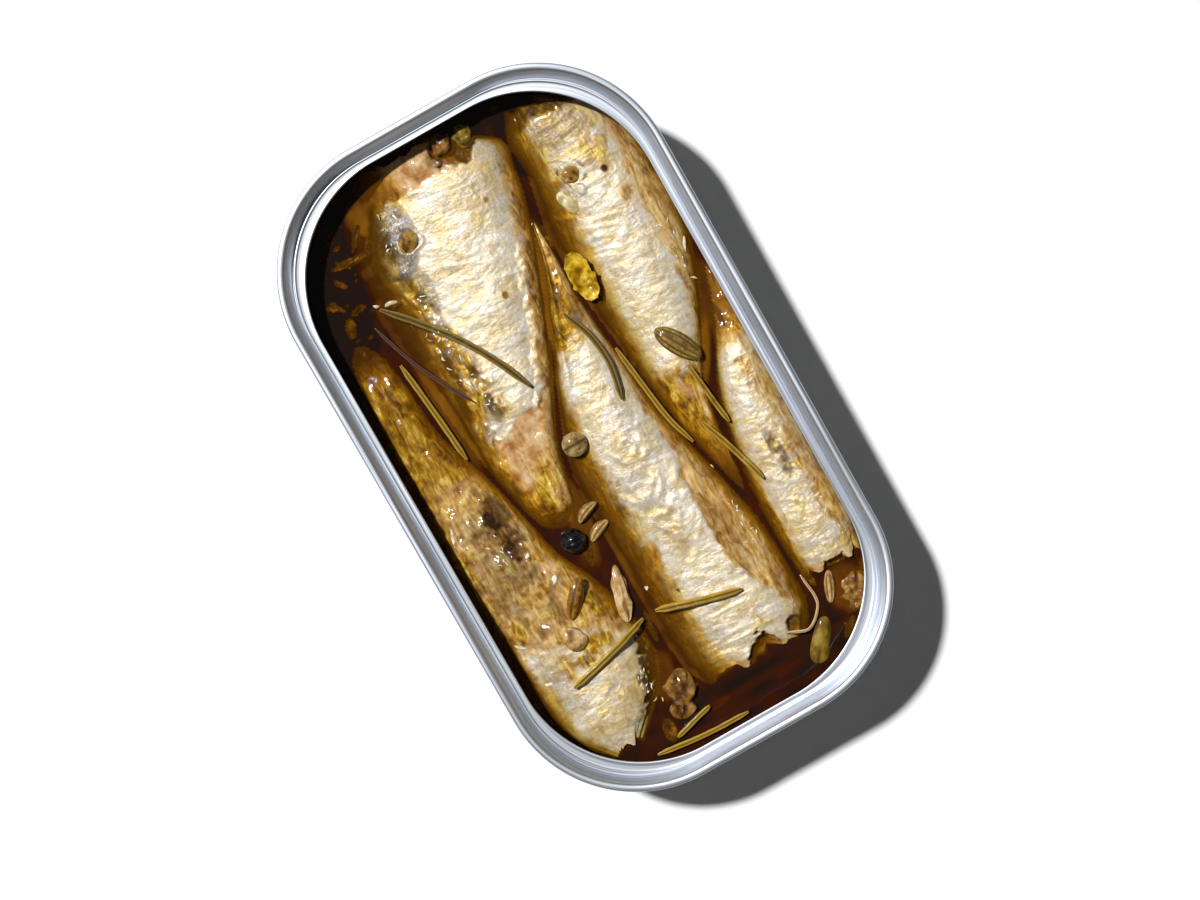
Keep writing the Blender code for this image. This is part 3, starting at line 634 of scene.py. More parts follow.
def paint_upper_right(x, y, s, edge, n):
    """Silver ribbed across, an orange-tan band along the back, and a golden tail."""
    spot = partial(patch, x, y)
    bare = step(-3, 2, x + 2 * n)
    ring = torn_ring(x, y, (-33.6, 16.5), (1.55, 1.5))
    band = step(23.6, 24.8, y + 0.9 * n + 0.05 * (x + 36)) * step(-42, -38, x)
    tan = np.maximum(0.9 * band, step(2.2, 0.8, edge + n) * step(-20, -12, x))
    gold = most(0.8 * step(16.2, 12.6, y + 2.0 * n) * step(-18, -26, x), step(13.4, 11.2, y + 0.8 * n),
                0.4 * step(-30, -40, x + 2 * n), step(-41.6, -43.4, x + n), 0.35 * band,
                0.5 * spot((-32, 14.2), (5.0, 2.2), -8),
                0.6 * spot((-36, 21.5), (6.5, 3.2), -20) * step(-0.3, 0.2, n),
                step(-5, 1, x + 2 * n) * (1 - 0.8 * spot((2.0, 15.6), (2.6, 1.1), 20)))
    grey = 0.7 * spot((-41.0, 17), (4.5, 6.5)) + 0.12 + 0.3 * spot((-20, 21), (7, 1.5), -12)
    dark = most(spot((-32.0, 21.1), (0.75, 0.7)), 0.45 * spot((-27.2, 22.2), (1.2, 0.9), -30), 0.8 * ring,
                0.6 * spot((-31.2, 16.9), (1.6, 1.0), 20) * step(-0.1, 0.3, n), 0.8 * step(13, 18, x),
                # the sunk left end is darker: its brown, with a painted shadow
                0.7 * step(-41.8, -43.8, x + n))
    tan = np.maximum(tan, 0.9 * spot((-27.2, 22.2), (1.7, 1.3), -30))
    low = 2.0 * step(7, 17, x) + 1.3 * step(-42.6, -45.6, x) + 0.1 * ring
    low = low + 0.2 * spot((-33.6, 16.5), (1.5, 1.5)) - 0.3 * spot((-31.0, 16.6), (1.1, 0.9))
    return bare, np.clip(tan, 0, 1), gold, grey, dark, low


def paint_middle(x, y, s, edge, n):
    """Silver in the middle, a golden tail, and brown bare flesh under the torn skin of the back."""
    spot = partial(patch, x, y)
    line = np.interp(x, (-10, 0, 8, 18, 24, 31, 34, 43), (8.6, 8.8, 9.6, 8.4, 8.8, 10.2, 12.6, 14.0))
    torn = step(-0.25, 0.25, y + 0.8 * n - line) * step(-6, 4, x)
    scrape = spot((22, -1.2), (3.4, 1.7), -25)
    bare = most(torn, scrape, step(41.2, 42.2, x + 0.7 * n))
    tan = most(torn * (0.35 + 0.6 * step(-0.3, 0.4, n)) * step(37, 33, x),
               0.7 * step(2.2, 0.8, edge + 0.5 * n), 0.6 * scrape)
    gold = most(step(-7, -12, x + 2.5 * n + 0.5 * y), 0.9 * step(0.8, -2.4, y + 1.3 * n - 0.01 * x),
                0.4 * spot((20, 3), (6, 3)) * step(-0.2, 0.4, n), 0.35 * torn,
                0.45 * spot((34.5, 1.5), (4, 4)) * step(-0.3, 0.2, n),
                (0.12 + 0.3 * step(-0.2, 0.4, n)) * step(29, 33, x))
    grey = 0.35 * spot((12, 2.5), (8, 3)) + 0.4 * spot((36, 1), (4, 3)) + 0.3 * spot((0, 6), (6, 2), -12)
    dark = most(0.9 * spot((27.5, -0.1), (1.0, 0.35), 15) * step(-0.3, 0.1, n),
                0.35 * spot((22, -2.0), (2.6, 1.0), -10),
                0.3 * torn * step(0.0, 0.5, wander(x / 4, y, 1.2, 833)),
                0.30 * spot((24, 10.4), (9.5, 1.9), 6) + 0.08 * torn)
    shoulder = 1.2 * np.exp(-(((s + 0.78) / 0.26) ** 2)) * step(1, -9, x)
    low = -shoulder - 0.09 * crease(x / 0.95, y / 5.0, 1.0, 831) * step(29, 33, x)
    low = low + 0.25 * torn * wander(x / 3, y, 1.1, 832)
    low = low - 0.13 * crease((x + 1.2 * y) / 2.6, (y - 0.8 * x) / 2.2, 1.0, 834) * spot((13, 4), (16, 6))
    return bare, tan, gold, grey, dark, low


def paint_lower_left(x, y, s, edge, n):
    """Golden fibres at the tail, open brown belly in the middle, mottled silver at the thick end."""
    spot = partial(patch, x, y)
    whole = step(25.0, 29.0, x + 2.2 * n - 0.25 * (y + 15))
    bare = np.maximum(0.92 * (1 - whole), step(4, -4, x + 2 * n))
    flesh = spot((7.0, -15.2), (10.0, 2.6), 10) + spot((9.0, -21.8), (7.0, 2.2), 3) * step(-0.3, 0.2, n)
    tan = np.clip(0.75 * (1 - whole) * step(-6, 2, x) * np.maximum(0.5 * step(-0.3, 0.4, n), flesh), 0, 1)
    torn = (1 - whole) * step(-2, 6, x)
    clump = wander(x / 1.5, y, 1.7, 846) + 0.5 * wander(x, y, 0.7, 847)
    gold = most(step(4, -5, x + 2 * n), 0.95 * spot((21.5, -13.4), (7.5, 3.4), 20) * step(-0.5, 0.1, clump),
                0.9 * spot((29.0, -15.5), (2.6, 5.5), 8) * step(-0.6, 0.0, clump), 0.55 * (1 - whole),
                torn * step(0.1, 0.6, clump), (0.15 + 0.35 * step(-0.1, 0.5, n)) * whole,
                0.8 * spot((29.5, -19.5), (3.4, 2.6)) * step(-0.3, 0.2, n),
                step(-23.8, -26.0, y + 0.8 * n))
    grey = 0.45 * spot((33, -22), (7, 3), 10) + 0.8 * spot((8, -22.8), (4.5, 1.6)) * step(-0.2, 0.3, n)
    grey = grey + 0.5 * torn * step(-19.5, -21.5, y) * step(0.0, -0.5, clump)
    ragged = wander(x, y, 1.1, 844) + 0.5 * wander(x, y, 0.5, 845)
    holes = step(2.6, 1.2, edge + 1.3 * ragged) * step(29, 33, x) * step(43, 41, x) * step(-0.45, 0.0, ragged)
    holes = holes + 0.9 * spot((36, -10.6), (3.6, 1.2), -25) * step(0.0, 0.3, ragged)
    lip = np.interp(x, (30, 34, 37, 39, 42), (-8.3, -9.0, -9.8, -10.9, -13.2)) + 0.7 * ragged
    holes = holes + step(0.75, 0.3, np.abs(y - lip)) * step(30, 31.5, x) * step(42.5, 41.5, x)
    # The belly's hollow and the flesh below its lip are darker: partly painted shade, partly the torn flesh's
    # own darker clumps
    cavity = 0.7 * spot((6.2, -18.4), (8.5, 2.2), 4) * step(-0.1, 0.5, n + 0.7 * clump)
    dark = np.maximum(cavity, holes) + 0.5 * spot((9, -20.6), (9.0, 3.4), 4) * step(-0.3, 0.3, clump)
    dark = dark + (0.10 + 0.40 * step(0.1, -0.5, clump)) * torn * step(-15.5, -17.0, y)
    dark = dark + 0.12 * step(-2, -8, x)
    dark = np.clip(dark + 0.85 * step(-22.5, -25.5, x + n), 0, 1)
    lumps = 0.26 * wander(x / 1.3, y, 1.8, 841) + 0.12 * clump + 0.05 * crease(x, y, 0.6, 843)
    low = 3.4 * step(-20.5, -27.0, x + 0.8 * n) - lumps * (1 - whole) * step(-6, 3, x)
    low = low - 0.5 * spot((6.5, -16.0), (8.5, 1.0), 8) * step(-0.4, 0.2, n) + 0.5 * np.clip(holes, 0, 1)
    low = low - 0.9 * step(-23.8, -25.6, y) * step(-24, -18, x) * step(40, 34, x)
    return bare, tan, gold, np.clip(grey, 0, 1), dark, low


def paint_lower_right(x, y, s, edge, n):
    """Silver, with a grey patch, a golden back along the wall and a brown tail."""
    bare = np.maximum(step(1, -4, x + 1.5 * n + 0.5 * (y - 24)), step(33.6, 34.8, x + 0.6 * n))
    tan = step(24.6, 25.6, y + 0.8 * n) * (0.55 + 0.4 * step(21, 23, x) * step(31, 29, x))
    tan = np.maximum(tan, 0.3 * step(1, -5, x))
    gold = most(step(1, -4, x + 2 * n), step(19.0, 17.6, y + 0.7 * n),
                0.7 * step(23.6, 25.0, y + n) * step(-0.4, 0.2, n), 0.3 * step(4, 12, x + 8 * n))
    patched = patch(x, y, (17.5, 23.0), (5.0, 1.3), 3) * step(-0.5, -0.1, n)
    dark = 0.25 * patched + 0.35 * patched * step(0.0, 0.3, n)
    low = 1.3 * step(2, -4, x) + 0.12 * patched - 0.08 * crease(x / 1.1, y / 4.0, 1.0, 851) * step(26, 31, x)
    return bare, tan * (1 - patched), np.maximum(gold, 0.35 * patched), 0.8 * patched, dark, low


OIL_TINTS = ((0.0, (1.0, 1.0, 1.0)), (0.08, (0.89, 0.75, 0.33)), (0.25, (0.65, 0.46, 0.08)),
             (0.50, (0.42, 0.21, 0.015)), (0.75, (0.20, 0.08, 0.005)), (1.0, (0.05, 0.014, 0.002)))
# The silver's palest stop falls on the crinkles' crests, so it is partly a painted sheen
SILVER_TONES = ((0.34, (0.42, 0.32, 0.17)), (0.45, (0.64, 0.54, 0.38)), (0.55, (0.75, 0.68, 0.56)),
                (0.68, (0.83, 0.80, 0.78)))
STAIN_TONES = ((0.30, (0.10, 0.038, 0.001)), (0.45, (0.28, 0.128, 0.003)), (0.58, (0.45, 0.25, 0.014)),
               (0.76, (0.76, 0.56, 0.14)))
FLESH_TONES = ((0.30, (0.21, 0.075, 0.012)), (0.44, (0.44, 0.215, 0.07)), (0.56, (0.62, 0.40, 0.20)),
               (0.70, (0.84, 0.68, 0.47)))
TAN_TONES = ((0.34, (0.22, 0.08, 0.008)), (0.46, (0.48, 0.25, 0.05)), (0.57, (0.70, 0.44, 0.14)),
             (0.70, (0.88, 0.68, 0.38)))
PALE_STAIN = (0.62, 0.46, 0.18, 1.0)
# The grey-lilac's palest stop, on the crinkles' crests, is likewise partly a painted sheen
LILAC_TONES = ((0.41, (0.045, 0.034, 0.028)), (0.51, (0.21, 0.168, 0.145)), (0.62, (0.66, 0.62, 0.61)))
# The tone of the dark masks: the fish's own dark places, and painted shade in hollows, creases and below the
# belly's lip
DARK_AND_SHADE_TONE = (0.038, 0.013, 0.003, 1.0)


def ramp(tree, value, stops):
    """A colour that runs through the given stops as value goes from 0 to 1."""
    made = add_node(tree, "ValToRGB", Fac=value)
    elements = made.color_ramp.elements
    while len(elements) < len(stops):
        elements.new(0.5)
    for element, (place, colour) in zip(elements, stops):
        element.position = place
        element.color = (*colour, 1.0)
    return made.outputs["Color"]


def mixed(tree, share, first, second, blend="MIX"):
    """One colour laid over another by a mask."""
    made = add_node(tree, "Mix", {"data_type": "RGBA", "blend_type": blend})
    for index, value in ((0, share), (6, first), (7, second)):
        put(tree, made.inputs[index], value)
    return made.outputs[2]


def worked(tree, operation, *values):
    """One step of arithmetic between values or other nodes' outputs."""
    made = add_node(tree, "Math", {"operation": operation})
    for index, value in enumerate(values):
        put(tree, made.inputs[index], value)
    return made.outputs[0]


# The shared effect of oil over a thing: its colour turns golden, then brown, then near black. It
# goes by the height of the place, from a film just above the oil's level down to DARK_DEPTH.
under_oil, given, result = new_group("under_oil", {"Color": "Color", "Place": "Vector"}, {"Color": "Color"})
place_z = add_node(under_oil, "SeparateXYZ", Vector=given["Place"]).outputs["Z"]
ripples = noise(under_oil, given["Place"], 700.0, 3.0)
wobbling = worked(under_oil, "MULTIPLY_ADD", ripples, OIL_WOBBLE, place_z)
sunk_share = ranged(under_oil, wobbling, 0.0, 1.0, (OIL_LEVEL + FILM_HEIGHT) * MM + OIL_WOBBLE / 2,
                    (OIL_LEVEL - DARK_DEPTH) * MM + OIL_WOBBLE / 2)
oil_tint = ramp(under_oil, sunk_share, OIL_TINTS)
put(under_oil, result["Color"], mixed(under_oil, 1.0, given["Color"], oil_tint, "MULTIPLY"))


def wet_colour(tree, colour, shader):
    """A colour seen through whatever oil stands over it, on the shader's Base Color."""
    place = add_node(tree, "TexCoord").outputs["Object"]
    wet = add_node(tree, "Group", {"node_tree": under_oil}, Place=place, Color=colour)
    put(tree, shader.inputs["Base Color"], wet.outputs["Color"])


def fish_skin(name):
    """Wet fish: silver, stain, tan back and bare flesh by their masks, each broken up by noise."""
    finish, shader, tree = new_material(name, (0.8, 0.7, 0.5), 0.3, coat=1.0, coat_roughness=0.06,
                                        specular=0.08)
    added = partial(worked, tree, "MULTIPLY_ADD")
    place = field(tree, "place", "Vector")
    masks = {key: field(tree, key) for key in MASKS}
    slanted = add_node(tree, "Mapping", Vector=place, Rotation=(0.0, 0.0, -SKIN_SLANT),
                       Scale=(1.0, 0.26, 1.0))
    drawn = add_node(tree, "Mapping", Vector=place, Scale=(0.34, 1.05, 1.0))
    mottle = noise(tree, place, 0.36, 4.0, 0.6, 0.6)
    grain = noise(tree, place, 2.6, 4.0, 0.7)
    ribs = noise(tree, slanted.outputs["Vector"], 1.0, 5.0, 0.55, 0.5)
    fibres = noise(tree, drawn.outputs["Vector"], 1.0, 5.0, 0.5, 1.2)
    blotch = noise(tree, place, 0.30, 2.5, 0.5, 0.8)
    wrinkled = added(grain, 0.4, worked(tree, "MULTIPLY", ribs, 0.6))
    soaked = added(mottle, 0.5, worked(tree, "MULTIPLY", fibres, 0.5))
    soaked = added(masks["gold"], -0.14, added(soaked, 1.8, -0.28))
    calm = added(mottle, 0.5, added(fibres, 0.3, added(blotch, 0.6, -0.19)))
    streaked = added(fibres, 0.85, added(blotch, 0.35, -0.09))
    yellowed = ranged(tree, blotch, 0.0, 0.55, 0.46, 0.66)
    golden = added(masks["gold"], 1.15, added(mottle, 1.6, -0.86))
    greyed = worked(tree, "ADD", masks["grey"], added(ribs, 1.6, -0.95))
    golden, greyed = (add_node(tree, "Clamp", Value=share).outputs["Result"] for share in (golden, greyed))
    # The silver and grey-lilac tones follow the crinkle noise that also drives the bump, so the crests are
    # paler: the skin's own uneven tone with a painted sheen on the crests
    colour = ramp(tree, wrinkled, SILVER_TONES)
    for share, layer in ((yellowed, PALE_STAIN), (greyed, ramp(tree, wrinkled, LILAC_TONES)),
                         (masks["bare"], ramp(tree, calm, FLESH_TONES)),
                         (golden, ramp(tree, soaked, STAIN_TONES)),
                         (masks["tan"], ramp(tree, streaked, TAN_TONES)), (masks["dark"], DARK_AND_SHADE_TONE)):
        colour = mixed(tree, share, colour, layer)
    wet_colour(tree, colour, shader)
    bump(tree, shader, worked(tree, "ADD", wrinkled, worked(tree, "MULTIPLY", mottle, 0.6)), 0.8, 0.25 * MM)
    put(tree, shader.inputs["Roughness"], ranged(tree, grain, 0.25, 0.5))
    put(tree, shader.inputs["Metallic"], added(masks["bare"], -0.25, 0.25))
    return finish


def add_fish(name, paint, finish):
    """A fish: leaned ovals along its lines, a ragged cut closed by a dish of flesh, a blunt tail."""
    shape = FISH[name]
    stations, lines = fish_lines(shape)
    seed = SEED_STEP * (1 + list(FISH).index(name))
    even = np.linspace(0, 1, FISH_ROWS)
    eased = (1 - EASED_ENDS) * even + EASED_ENDS * (1 - np.cos(np.pi * even)) / 2
    over = int(FISH_COLUMNS * TOP_SHARE)
    angle = np.concatenate((np.linspace(0, np.pi, over, endpoint=False),
                            np.linspace(np.pi, 2 * np.pi, FISH_COLUMNS - over, endpoint=False)))
    x, angle = np.meshgrid(stations[0] + (stations[-1] - stations[0]) * eased, angle, indexing="ij")
    middle, half, rise, drop, flank = (np.interp(x, stations, line) for line in lines)
    tail_end = stations[-1] if shape["head"] == "low" else stations[0]
    blunt = np.clip(1 - np.abs(x - tail_end) / TAIL_ROUND, 0, 1)
    blunt = np.maximum(np.sqrt(1 - blunt**2), TAIL_LEAST)
    half, rise, drop = half * blunt, rise * blunt, drop * blunt
    s = np.sign(np.cos(angle)) * np.abs(np.cos(angle)) ** (2 / SECTION_POWER)
    lift = np.sign(np.sin(angle)) * np.abs(np.sin(angle)) ** (2 / SECTION_POWER)
    y = middle + half * s
    upper = np.clip(lift, 0, 1)
    z = flank + np.where(lift > 0, rise, drop) * lift + shape["lean"] * half * s
    z = z + upper * crinkles(x, y, seed)
    n = 0.6 * wander(x, y, 2.2, seed + 7) + 0.4 * wander(x, y, 0.8, seed + 8)
    bare, tan, gold, grey, dark, low = paint(x, y, s, (1 - s) * half, n)
    fibre = 0.035 * crease(x / 3.0, y / 0.7, 1.0, seed + 13)
    ripple = 0.05 * crease(x + 0.5 * y, y, 0.9, seed + 14) * np.clip(gold + dark, 0, 1) * (1 - 0.6 * bare)
    z = z - upper * (low + bare * (SKIN_THICKNESS - fibre) - ripple)
    z, inside = carve(shape, x, y, z)
    bare = np.maximum(bare, inside)
    # Painted shade: inside each hollow the surface is darkened
    dark = np.maximum(dark, 0.82 * inside * step(-0.6, 0.45, n + 0.6 * wander(x, y, 1.4, 804)))
    cut = -1 if shape["head"] == "low" else 1
    end = stations[0] if cut < 0 else stations[-1]
    ragged = 0.7 * wander(angle * 3, 0 * angle, 1.0, seed + 9)
    ragged = ragged + 0.4 * wander(angle * 9, 0 * angle, 1.0, seed + 10)
    x = x + ragged * step(4.0, 0.0, np.abs(x - end))
    rows = np.stack((x, y, z), -1)
    fields = np.stack((bare, tan, gold, grey, dark), -1)
    last, last_fields = (rows[0], fields[0]) if cut < 0 else (rows[-1], fields[-1])
    centre = last.mean(0)
    dish, dish_fields = [], []
    for k in range(1, DISH_ROWS + 1):
        share = k / (DISH_ROWS + 1)
        ring = centre + (last - centre) * (1 - share)
        ring[:, 0] = last[:, 0] * (1 - share) + centre[0] * share
        ring[:, 0] -= cut * DISH_DEPTH * math.sin(share * math.pi / 2)
        ring[:, 0] += 0.25 * wander(angle[0] * 4, np.full(FISH_COLUMNS, share * 6), 1.0, seed + 12)
        dish.append(ring)
        dish_fields.append(np.maximum(last_fields, (1.0, 0, 0, 0, 0.25)))
    if cut < 0:
        rows = np.concatenate((dish[::-1], rows))
        fields = np.concatenate((dish_fields[::-1], fields))
    else:
        rows = np.concatenate((rows, dish))
        fields = np.concatenate((fields, dish_fields))
    named = dict(zip(MASKS, np.moveaxis(fields, -1, 0)))
    named["place"] = np.stack((rows[..., 0], rows[..., 1], rows[..., 2] + PATTERN_SHIFT * seed), -1)
    return add_piece(name + "_skin", rows * MM, finish, named, (name,))


skin = fish_skin("fish_skin")
painters = (paint_upper_left, paint_upper_right, paint_middle, paint_lower_left, paint_lower_right)
fish_pieces = [add_fish(name, paint, skin) for name, paint in zip(FISH, painters)]
fish_trees = [BVHTree.FromObject(piece, bpy.context.evaluated_depsgraph_get()) for piece in fish_pieces]


def fish_height(x, y):
    """The height in millimetres of the highest fish at each place in plan, and -1 where there is none."""
    found = np.full(np.size(x), -1.0)
    for index, (a, b) in enumerate(zip(np.ravel(x), np.ravel(y))):
        for tree in fish_trees:
            hit = tree.ray_cast(Vector((a * MM, b * MM, TIN_HEIGHT)), Vector((0, 0, -1)))[0]
            if hit:
                found[index] = max(found[index], hit.z / MM)
    return found.reshape(np.shape(x))


# Seeds and scraps: whole spices from the oil and bits that came off the fish. They lie half sunk in
# the oil or stick to the skin. A husk has dark, middle and pale tones, a grain, a gloss and a coat.
PEBBLE_ROWS = 60
PEBBLE_COLUMNS = 56
POLE_GAP = 0.03
HUSKS = {
    "olive_husk": ((0.085, 0.048, 0.008), (0.22, 0.135, 0.025), (0.40, 0.28, 0.08), 700.0, 0.5),
    "pale_husk": ((0.06, 0.030, 0.005), (0.31, 0.20, 0.065), (0.50, 0.37, 0.16), 800.0, 0.5),
    "tan_husk": ((0.16, 0.075, 0.012), (0.42, 0.25, 0.08), (0.66, 0.48, 0.24), 700.0, 0.5),
    "amber_husk": ((0.09, 0.030, 0.003), (0.27, 0.12, 0.012), (0.48, 0.27, 0.05), 700.0, 0.4),
    "dent_husk": ((0.10, 0.035, 0.004), (0.31, 0.17, 0.028), (0.50, 0.34, 0.10), 600.0, 0.4),
    "pepper_husk": ((0.002, 0.001, 0.002), (0.005, 0.004, 0.006), (0.030, 0.022, 0.022), 1500.0, 0.3, 1.0),
    "bare_flesh": ((0.07, 0.024, 0.003), (0.24, 0.11, 0.020), (0.44, 0.26, 0.08), 520.0, 0.4),
    "pale_flesh": ((0.24, 0.11, 0.025), (0.50, 0.32, 0.12), (0.76, 0.60, 0.36), 520.0, 0.4),
    "olive_rind": ((0.08, 0.042, 0.003), (0.20, 0.125, 0.012), (0.36, 0.25, 0.05), 350.0, 0.45),
    "cream_scrap": ((0.40, 0.30, 0.12), (0.64, 0.54, 0.28), (0.80, 0.74, 0.48), 420.0, 0.4),
}


def husk(name, dark, middle, pale, grain, gloss, coat=0.5):
    """A seed coat or scrap: three tones by noise, darker in its grooves, under a film of oil."""
    made, shader, tree = new_material(name, middle, gloss, coat=coat, coat_roughness=0.08, specular=0.1)
    specks = noise(tree, add_node(tree, "TexCoord").outputs["Object"], grain, 5.0, 0.65)
    colour = ramp(tree, specks, ((0.34, dark), (0.50, middle), (0.68, pale)))
    wet_colour(tree, mixed(tree, field(tree, "groove"), colour, (*dark, 1.0)), shader)
    bump(tree, shader, specks, 0.7, 0.15 * MM)
    return made


def pebble_grid(centre, radii, turn, form, bend=0.0, rows=PEBBLE_ROWS, columns=PEBBLE_COLUMNS):
    """An uneven oval: form gives the radius's factor and the groove's mask by length and angle.

    bend curves its long axis sideways by the square of the place along it. The points come as
    (rows, columns, 3) in metres, with the groove's mask.
    """
    a = -np.cos(np.linspace(POLE_GAP, np.pi - POLE_GAP, rows))[:, None]
    angle = np.linspace(0, 2 * np.pi, columns, endpoint=False)[None, :]
    factor, groove = form(a, angle)
    wide = np.sqrt(1 - a * a) * factor
    px = radii[0] * a * np.ones_like(angle)
    py = radii[1] * wide * np.cos(angle) + bend * a * a
    pz = radii[2] * wide * np.sin(angle)
    c, s = math.cos(math.radians(turn)), math.sin(math.radians(turn))
    points = np.stack((centre[0] + px * c - py * s, centre[1] + px * s + py * c, centre[2] + pz), -1)
    return points * MM, groove * np.ones_like(px)


def lumpy(amount, beat, seed):
    """A form with random lumps of the given size."""
    def form(a, angle):
        around = wander(beat * a + 0 * angle, beat * np.cos(angle) + 0 * a, 1.0, seed)
        around = around + wander(beat * a + 0 * angle, beat * np.sin(angle) + 0 * a, 1.0, seed + 1)
        return 1 + amount * around, step(-0.3, -1.0, around)
    return form


def ribbed(count, depth):
    """A form with ribs along its length, as on a fennel or caraway seed."""
    def form(a, angle):
        rib = np.cos(count * angle) * (1 - a * a) ** 0.25
        return 1 + depth * rib, step(0.1, -0.9, rib)
    return form


def banded(amount, beat, seed):
    """A lumpy form that keeps its width nearly to its ends, as a cut strip of rind does."""
    lumps = lumpy(amount, beat, seed)

    def form(a, angle):
        factor, groove = lumps(a, angle)
        return factor * np.clip(1 - a**4, 0, 1) ** 0.5 / np.sqrt(1 - a * a), groove
    return form


def split(place, depth, width):
    """A form with one groove along its length, at an angle in degrees."""
    def form(a, angle):
        notch = np.exp(-((np.degrees(angle) - place) / width) ** 2) + 0 * a
        return 1 - depth * notch, np.clip(notch, 0, 1)
    return form


# Name, node, centre, radii, turn, form, husk, slot, and for a curved seed its bend
PEBBLES = [
    ("coriander", "coriander_split", (1.2, -2.7, 17.7), (1.9, 1.9, 1.0), 90.0, split(90, 0.16, 12),
     "pale_husk", "seed"),
    ("pepper", "peppercorn", (13.6, -10.0, 17.2), (1.95, 1.95, 1.95), 0.0, lumpy(0.06, 4.2, 301),
     "pepper_husk", "peppercorn"),
    ("caraway_a", "caraway_seed_1", (10.6, -6.1, 17.6), (2.0, 0.75, 0.7), -68.0, ribbed(6, 0.05),
     "tan_husk", "seed", 0.35),
    ("caraway_b", "caraway_seed_2", (14.0, -5.9, 17.1), (2.0, 0.85, 0.75), -66.0, ribbed(6, 0.05),
     "tan_husk", "seed", 0.3),
    ("torn_fragment", "flesh_fragment", (41.6, -7.3, 16.7), (3.9, 2.1, 1.9), -25.0, lumpy(0.30, 3.4, 311),
     "bare_flesh", "flesh"),
    ("backbone", "backbone_bits", (41.2, 23.2, 16.2), (3.2, 2.2, 1.8), -25.0, lumpy(0.30, 3.8, 321),
     "bare_flesh", "flesh"),
    ("right_seed", "brown_seed_right", (38.6, 19.9, 16.9), (2.5, 0.85, 0.75), -24.0, ribbed(7, 0.05),
     "tan_husk", "seed"),
    ("rind_strip", "peel_strip", (45.0, 14.9, 16.4), (3.8, 1.6, 0.9), -38.0, banded(0.10, 1.6, 335),
     "olive_rind", "peel"),
    ("rind_bit", "peel_bit", (-46.3, 5.4, 16.7), (1.8, 1.5, 0.9), 10.0, lumpy(0.22, 2.6, 331),
     "olive_rind", "peel"),
    ("ribs_left", "rib_bits", (-46.8, 1.9, 16.8), (1.6, 1.5, 1.1), 30.0, lumpy(0.2, 3.0, 337),
     "bare_flesh", "flesh"),
    ("torn_strip", "flesh_strip", (24.0, -7.6, 17.3), (4.4, 1.1, 0.9), -16.0, lumpy(0.26, 2.6, 343),
     "pale_flesh", "flesh"),
]
# What sticks to a fish: name, place, radii, turn, form, husk and the share sunk in
STUCK_ON_FISH = [
    ("dent_seed", (-36.8, -9.2), (1.7, 1.3, 0.6), -40.0, lumpy(0.16, 1.6, 375), "dent_husk", 0.4),
    ("ring_seed", (-33.6, 16.5), (1.35, 1.3, 0.5), 0.0, lumpy(0.2, 2.2, 345), "dent_husk", 0.4),
    ("pale_scrap", (-30.2, 14.1), (2.1, 1.2, 0.5), 20.0, lumpy(0.16, 2.0, 351), "cream_scrap", 0.35),
    ("fennel", (-4.3, 17.9), (4.0, 1.6, 1.2), 30.0, ribbed(10, 0.05), "olive_husk", 0.4),
    ("corner_seed", (26.3, -16.9), (2.0, 1.7, 0.8), 15.0, lumpy(0.14, 1.6, 361), "tan_husk", 0.4),
    ("long_seed", (21.1, -13.9), (3.3, 1.15, 0.8), -40.0, ribbed(5, 0.04), "amber_husk", 0.35),
]
husks = {name: husk(name, *tones) for name, tones in HUSKS.items()}
for name, node, centre, radii, turn, form, finish, slot, *bend in PEBBLES:
    points, groove = pebble_grid(centre, radii, turn, form, *bend)
    add_piece(name, points, husks[finish], {"groove": groove}, (node,))
for name, place, radii, turn, form, finish, sunk in STUCK_ON_FISH:
    height = float(fish_height(place[0], place[1])) + radii[2] * (1 - 2 * sunk)
    points, groove = pebble_grid((*place, height), radii, turn, form)
    add_piece(name, points, husks[finish], {"groove": groove})

# The yellow rind: a scrap of bright peel that floats in the oil between the two upper fish. It is a
# thin oval, crumpled and ragged at its sides, which curl up.
PEEL_CENTRE = (-19.9, 10.4, 17.55)
PEEL_HALF_LENGTH = 3.9
PEEL_HALF_WIDTH = 1.9
PEEL_THICKNESS = 0.6
PEEL_CURL = 0.8
PEEL_ROWS = 90
PEEL_COLUMNS = 60

length_share, turn = np.meshgrid(np.linspace(-1, 1, PEEL_ROWS),
                                 np.linspace(0, 2 * np.pi, PEEL_COLUMNS, endpoint=False), indexing="ij")
uneven_side = 1 + 0.14 * wander(7 * length_share, 2 * np.sign(np.cos(turn)), 1.0, 401)
width = PEEL_HALF_WIDTH * np.sqrt(np.clip(1 - length_share**2, 0.1, 1)) * uneven_side
v = np.sign(np.cos(turn)) * np.abs(np.cos(turn)) ** 0.6
peel_x = PEEL_CENTRE[0] + PEEL_HALF_LENGTH * length_share
peel_y = PEEL_CENTRE[1] + width * v
crumple = 0.16 * wander(peel_x, peel_y, 0.9, 402) + 0.10 * wander(peel_x, peel_y, 0.45, 403)
peel_z = PEEL_CENTRE[2] + PEEL_CURL * v * v + PEEL_THICKNESS / 2 * np.sin(turn) + crumple
yellow = husk("yellow_rind", (0.17, 0.075, 0.001), (0.50, 0.29, 0.004), (0.82, 0.62, 0.09), 520.0, 0.35)
add_piece("yellow_rind", np.stack((peel_x, peel_y, peel_z), -1) * MM, yellow,
          {"groove": 0.5 * step(0.0, -0.2, crumple)}, ("yellow_peel",))

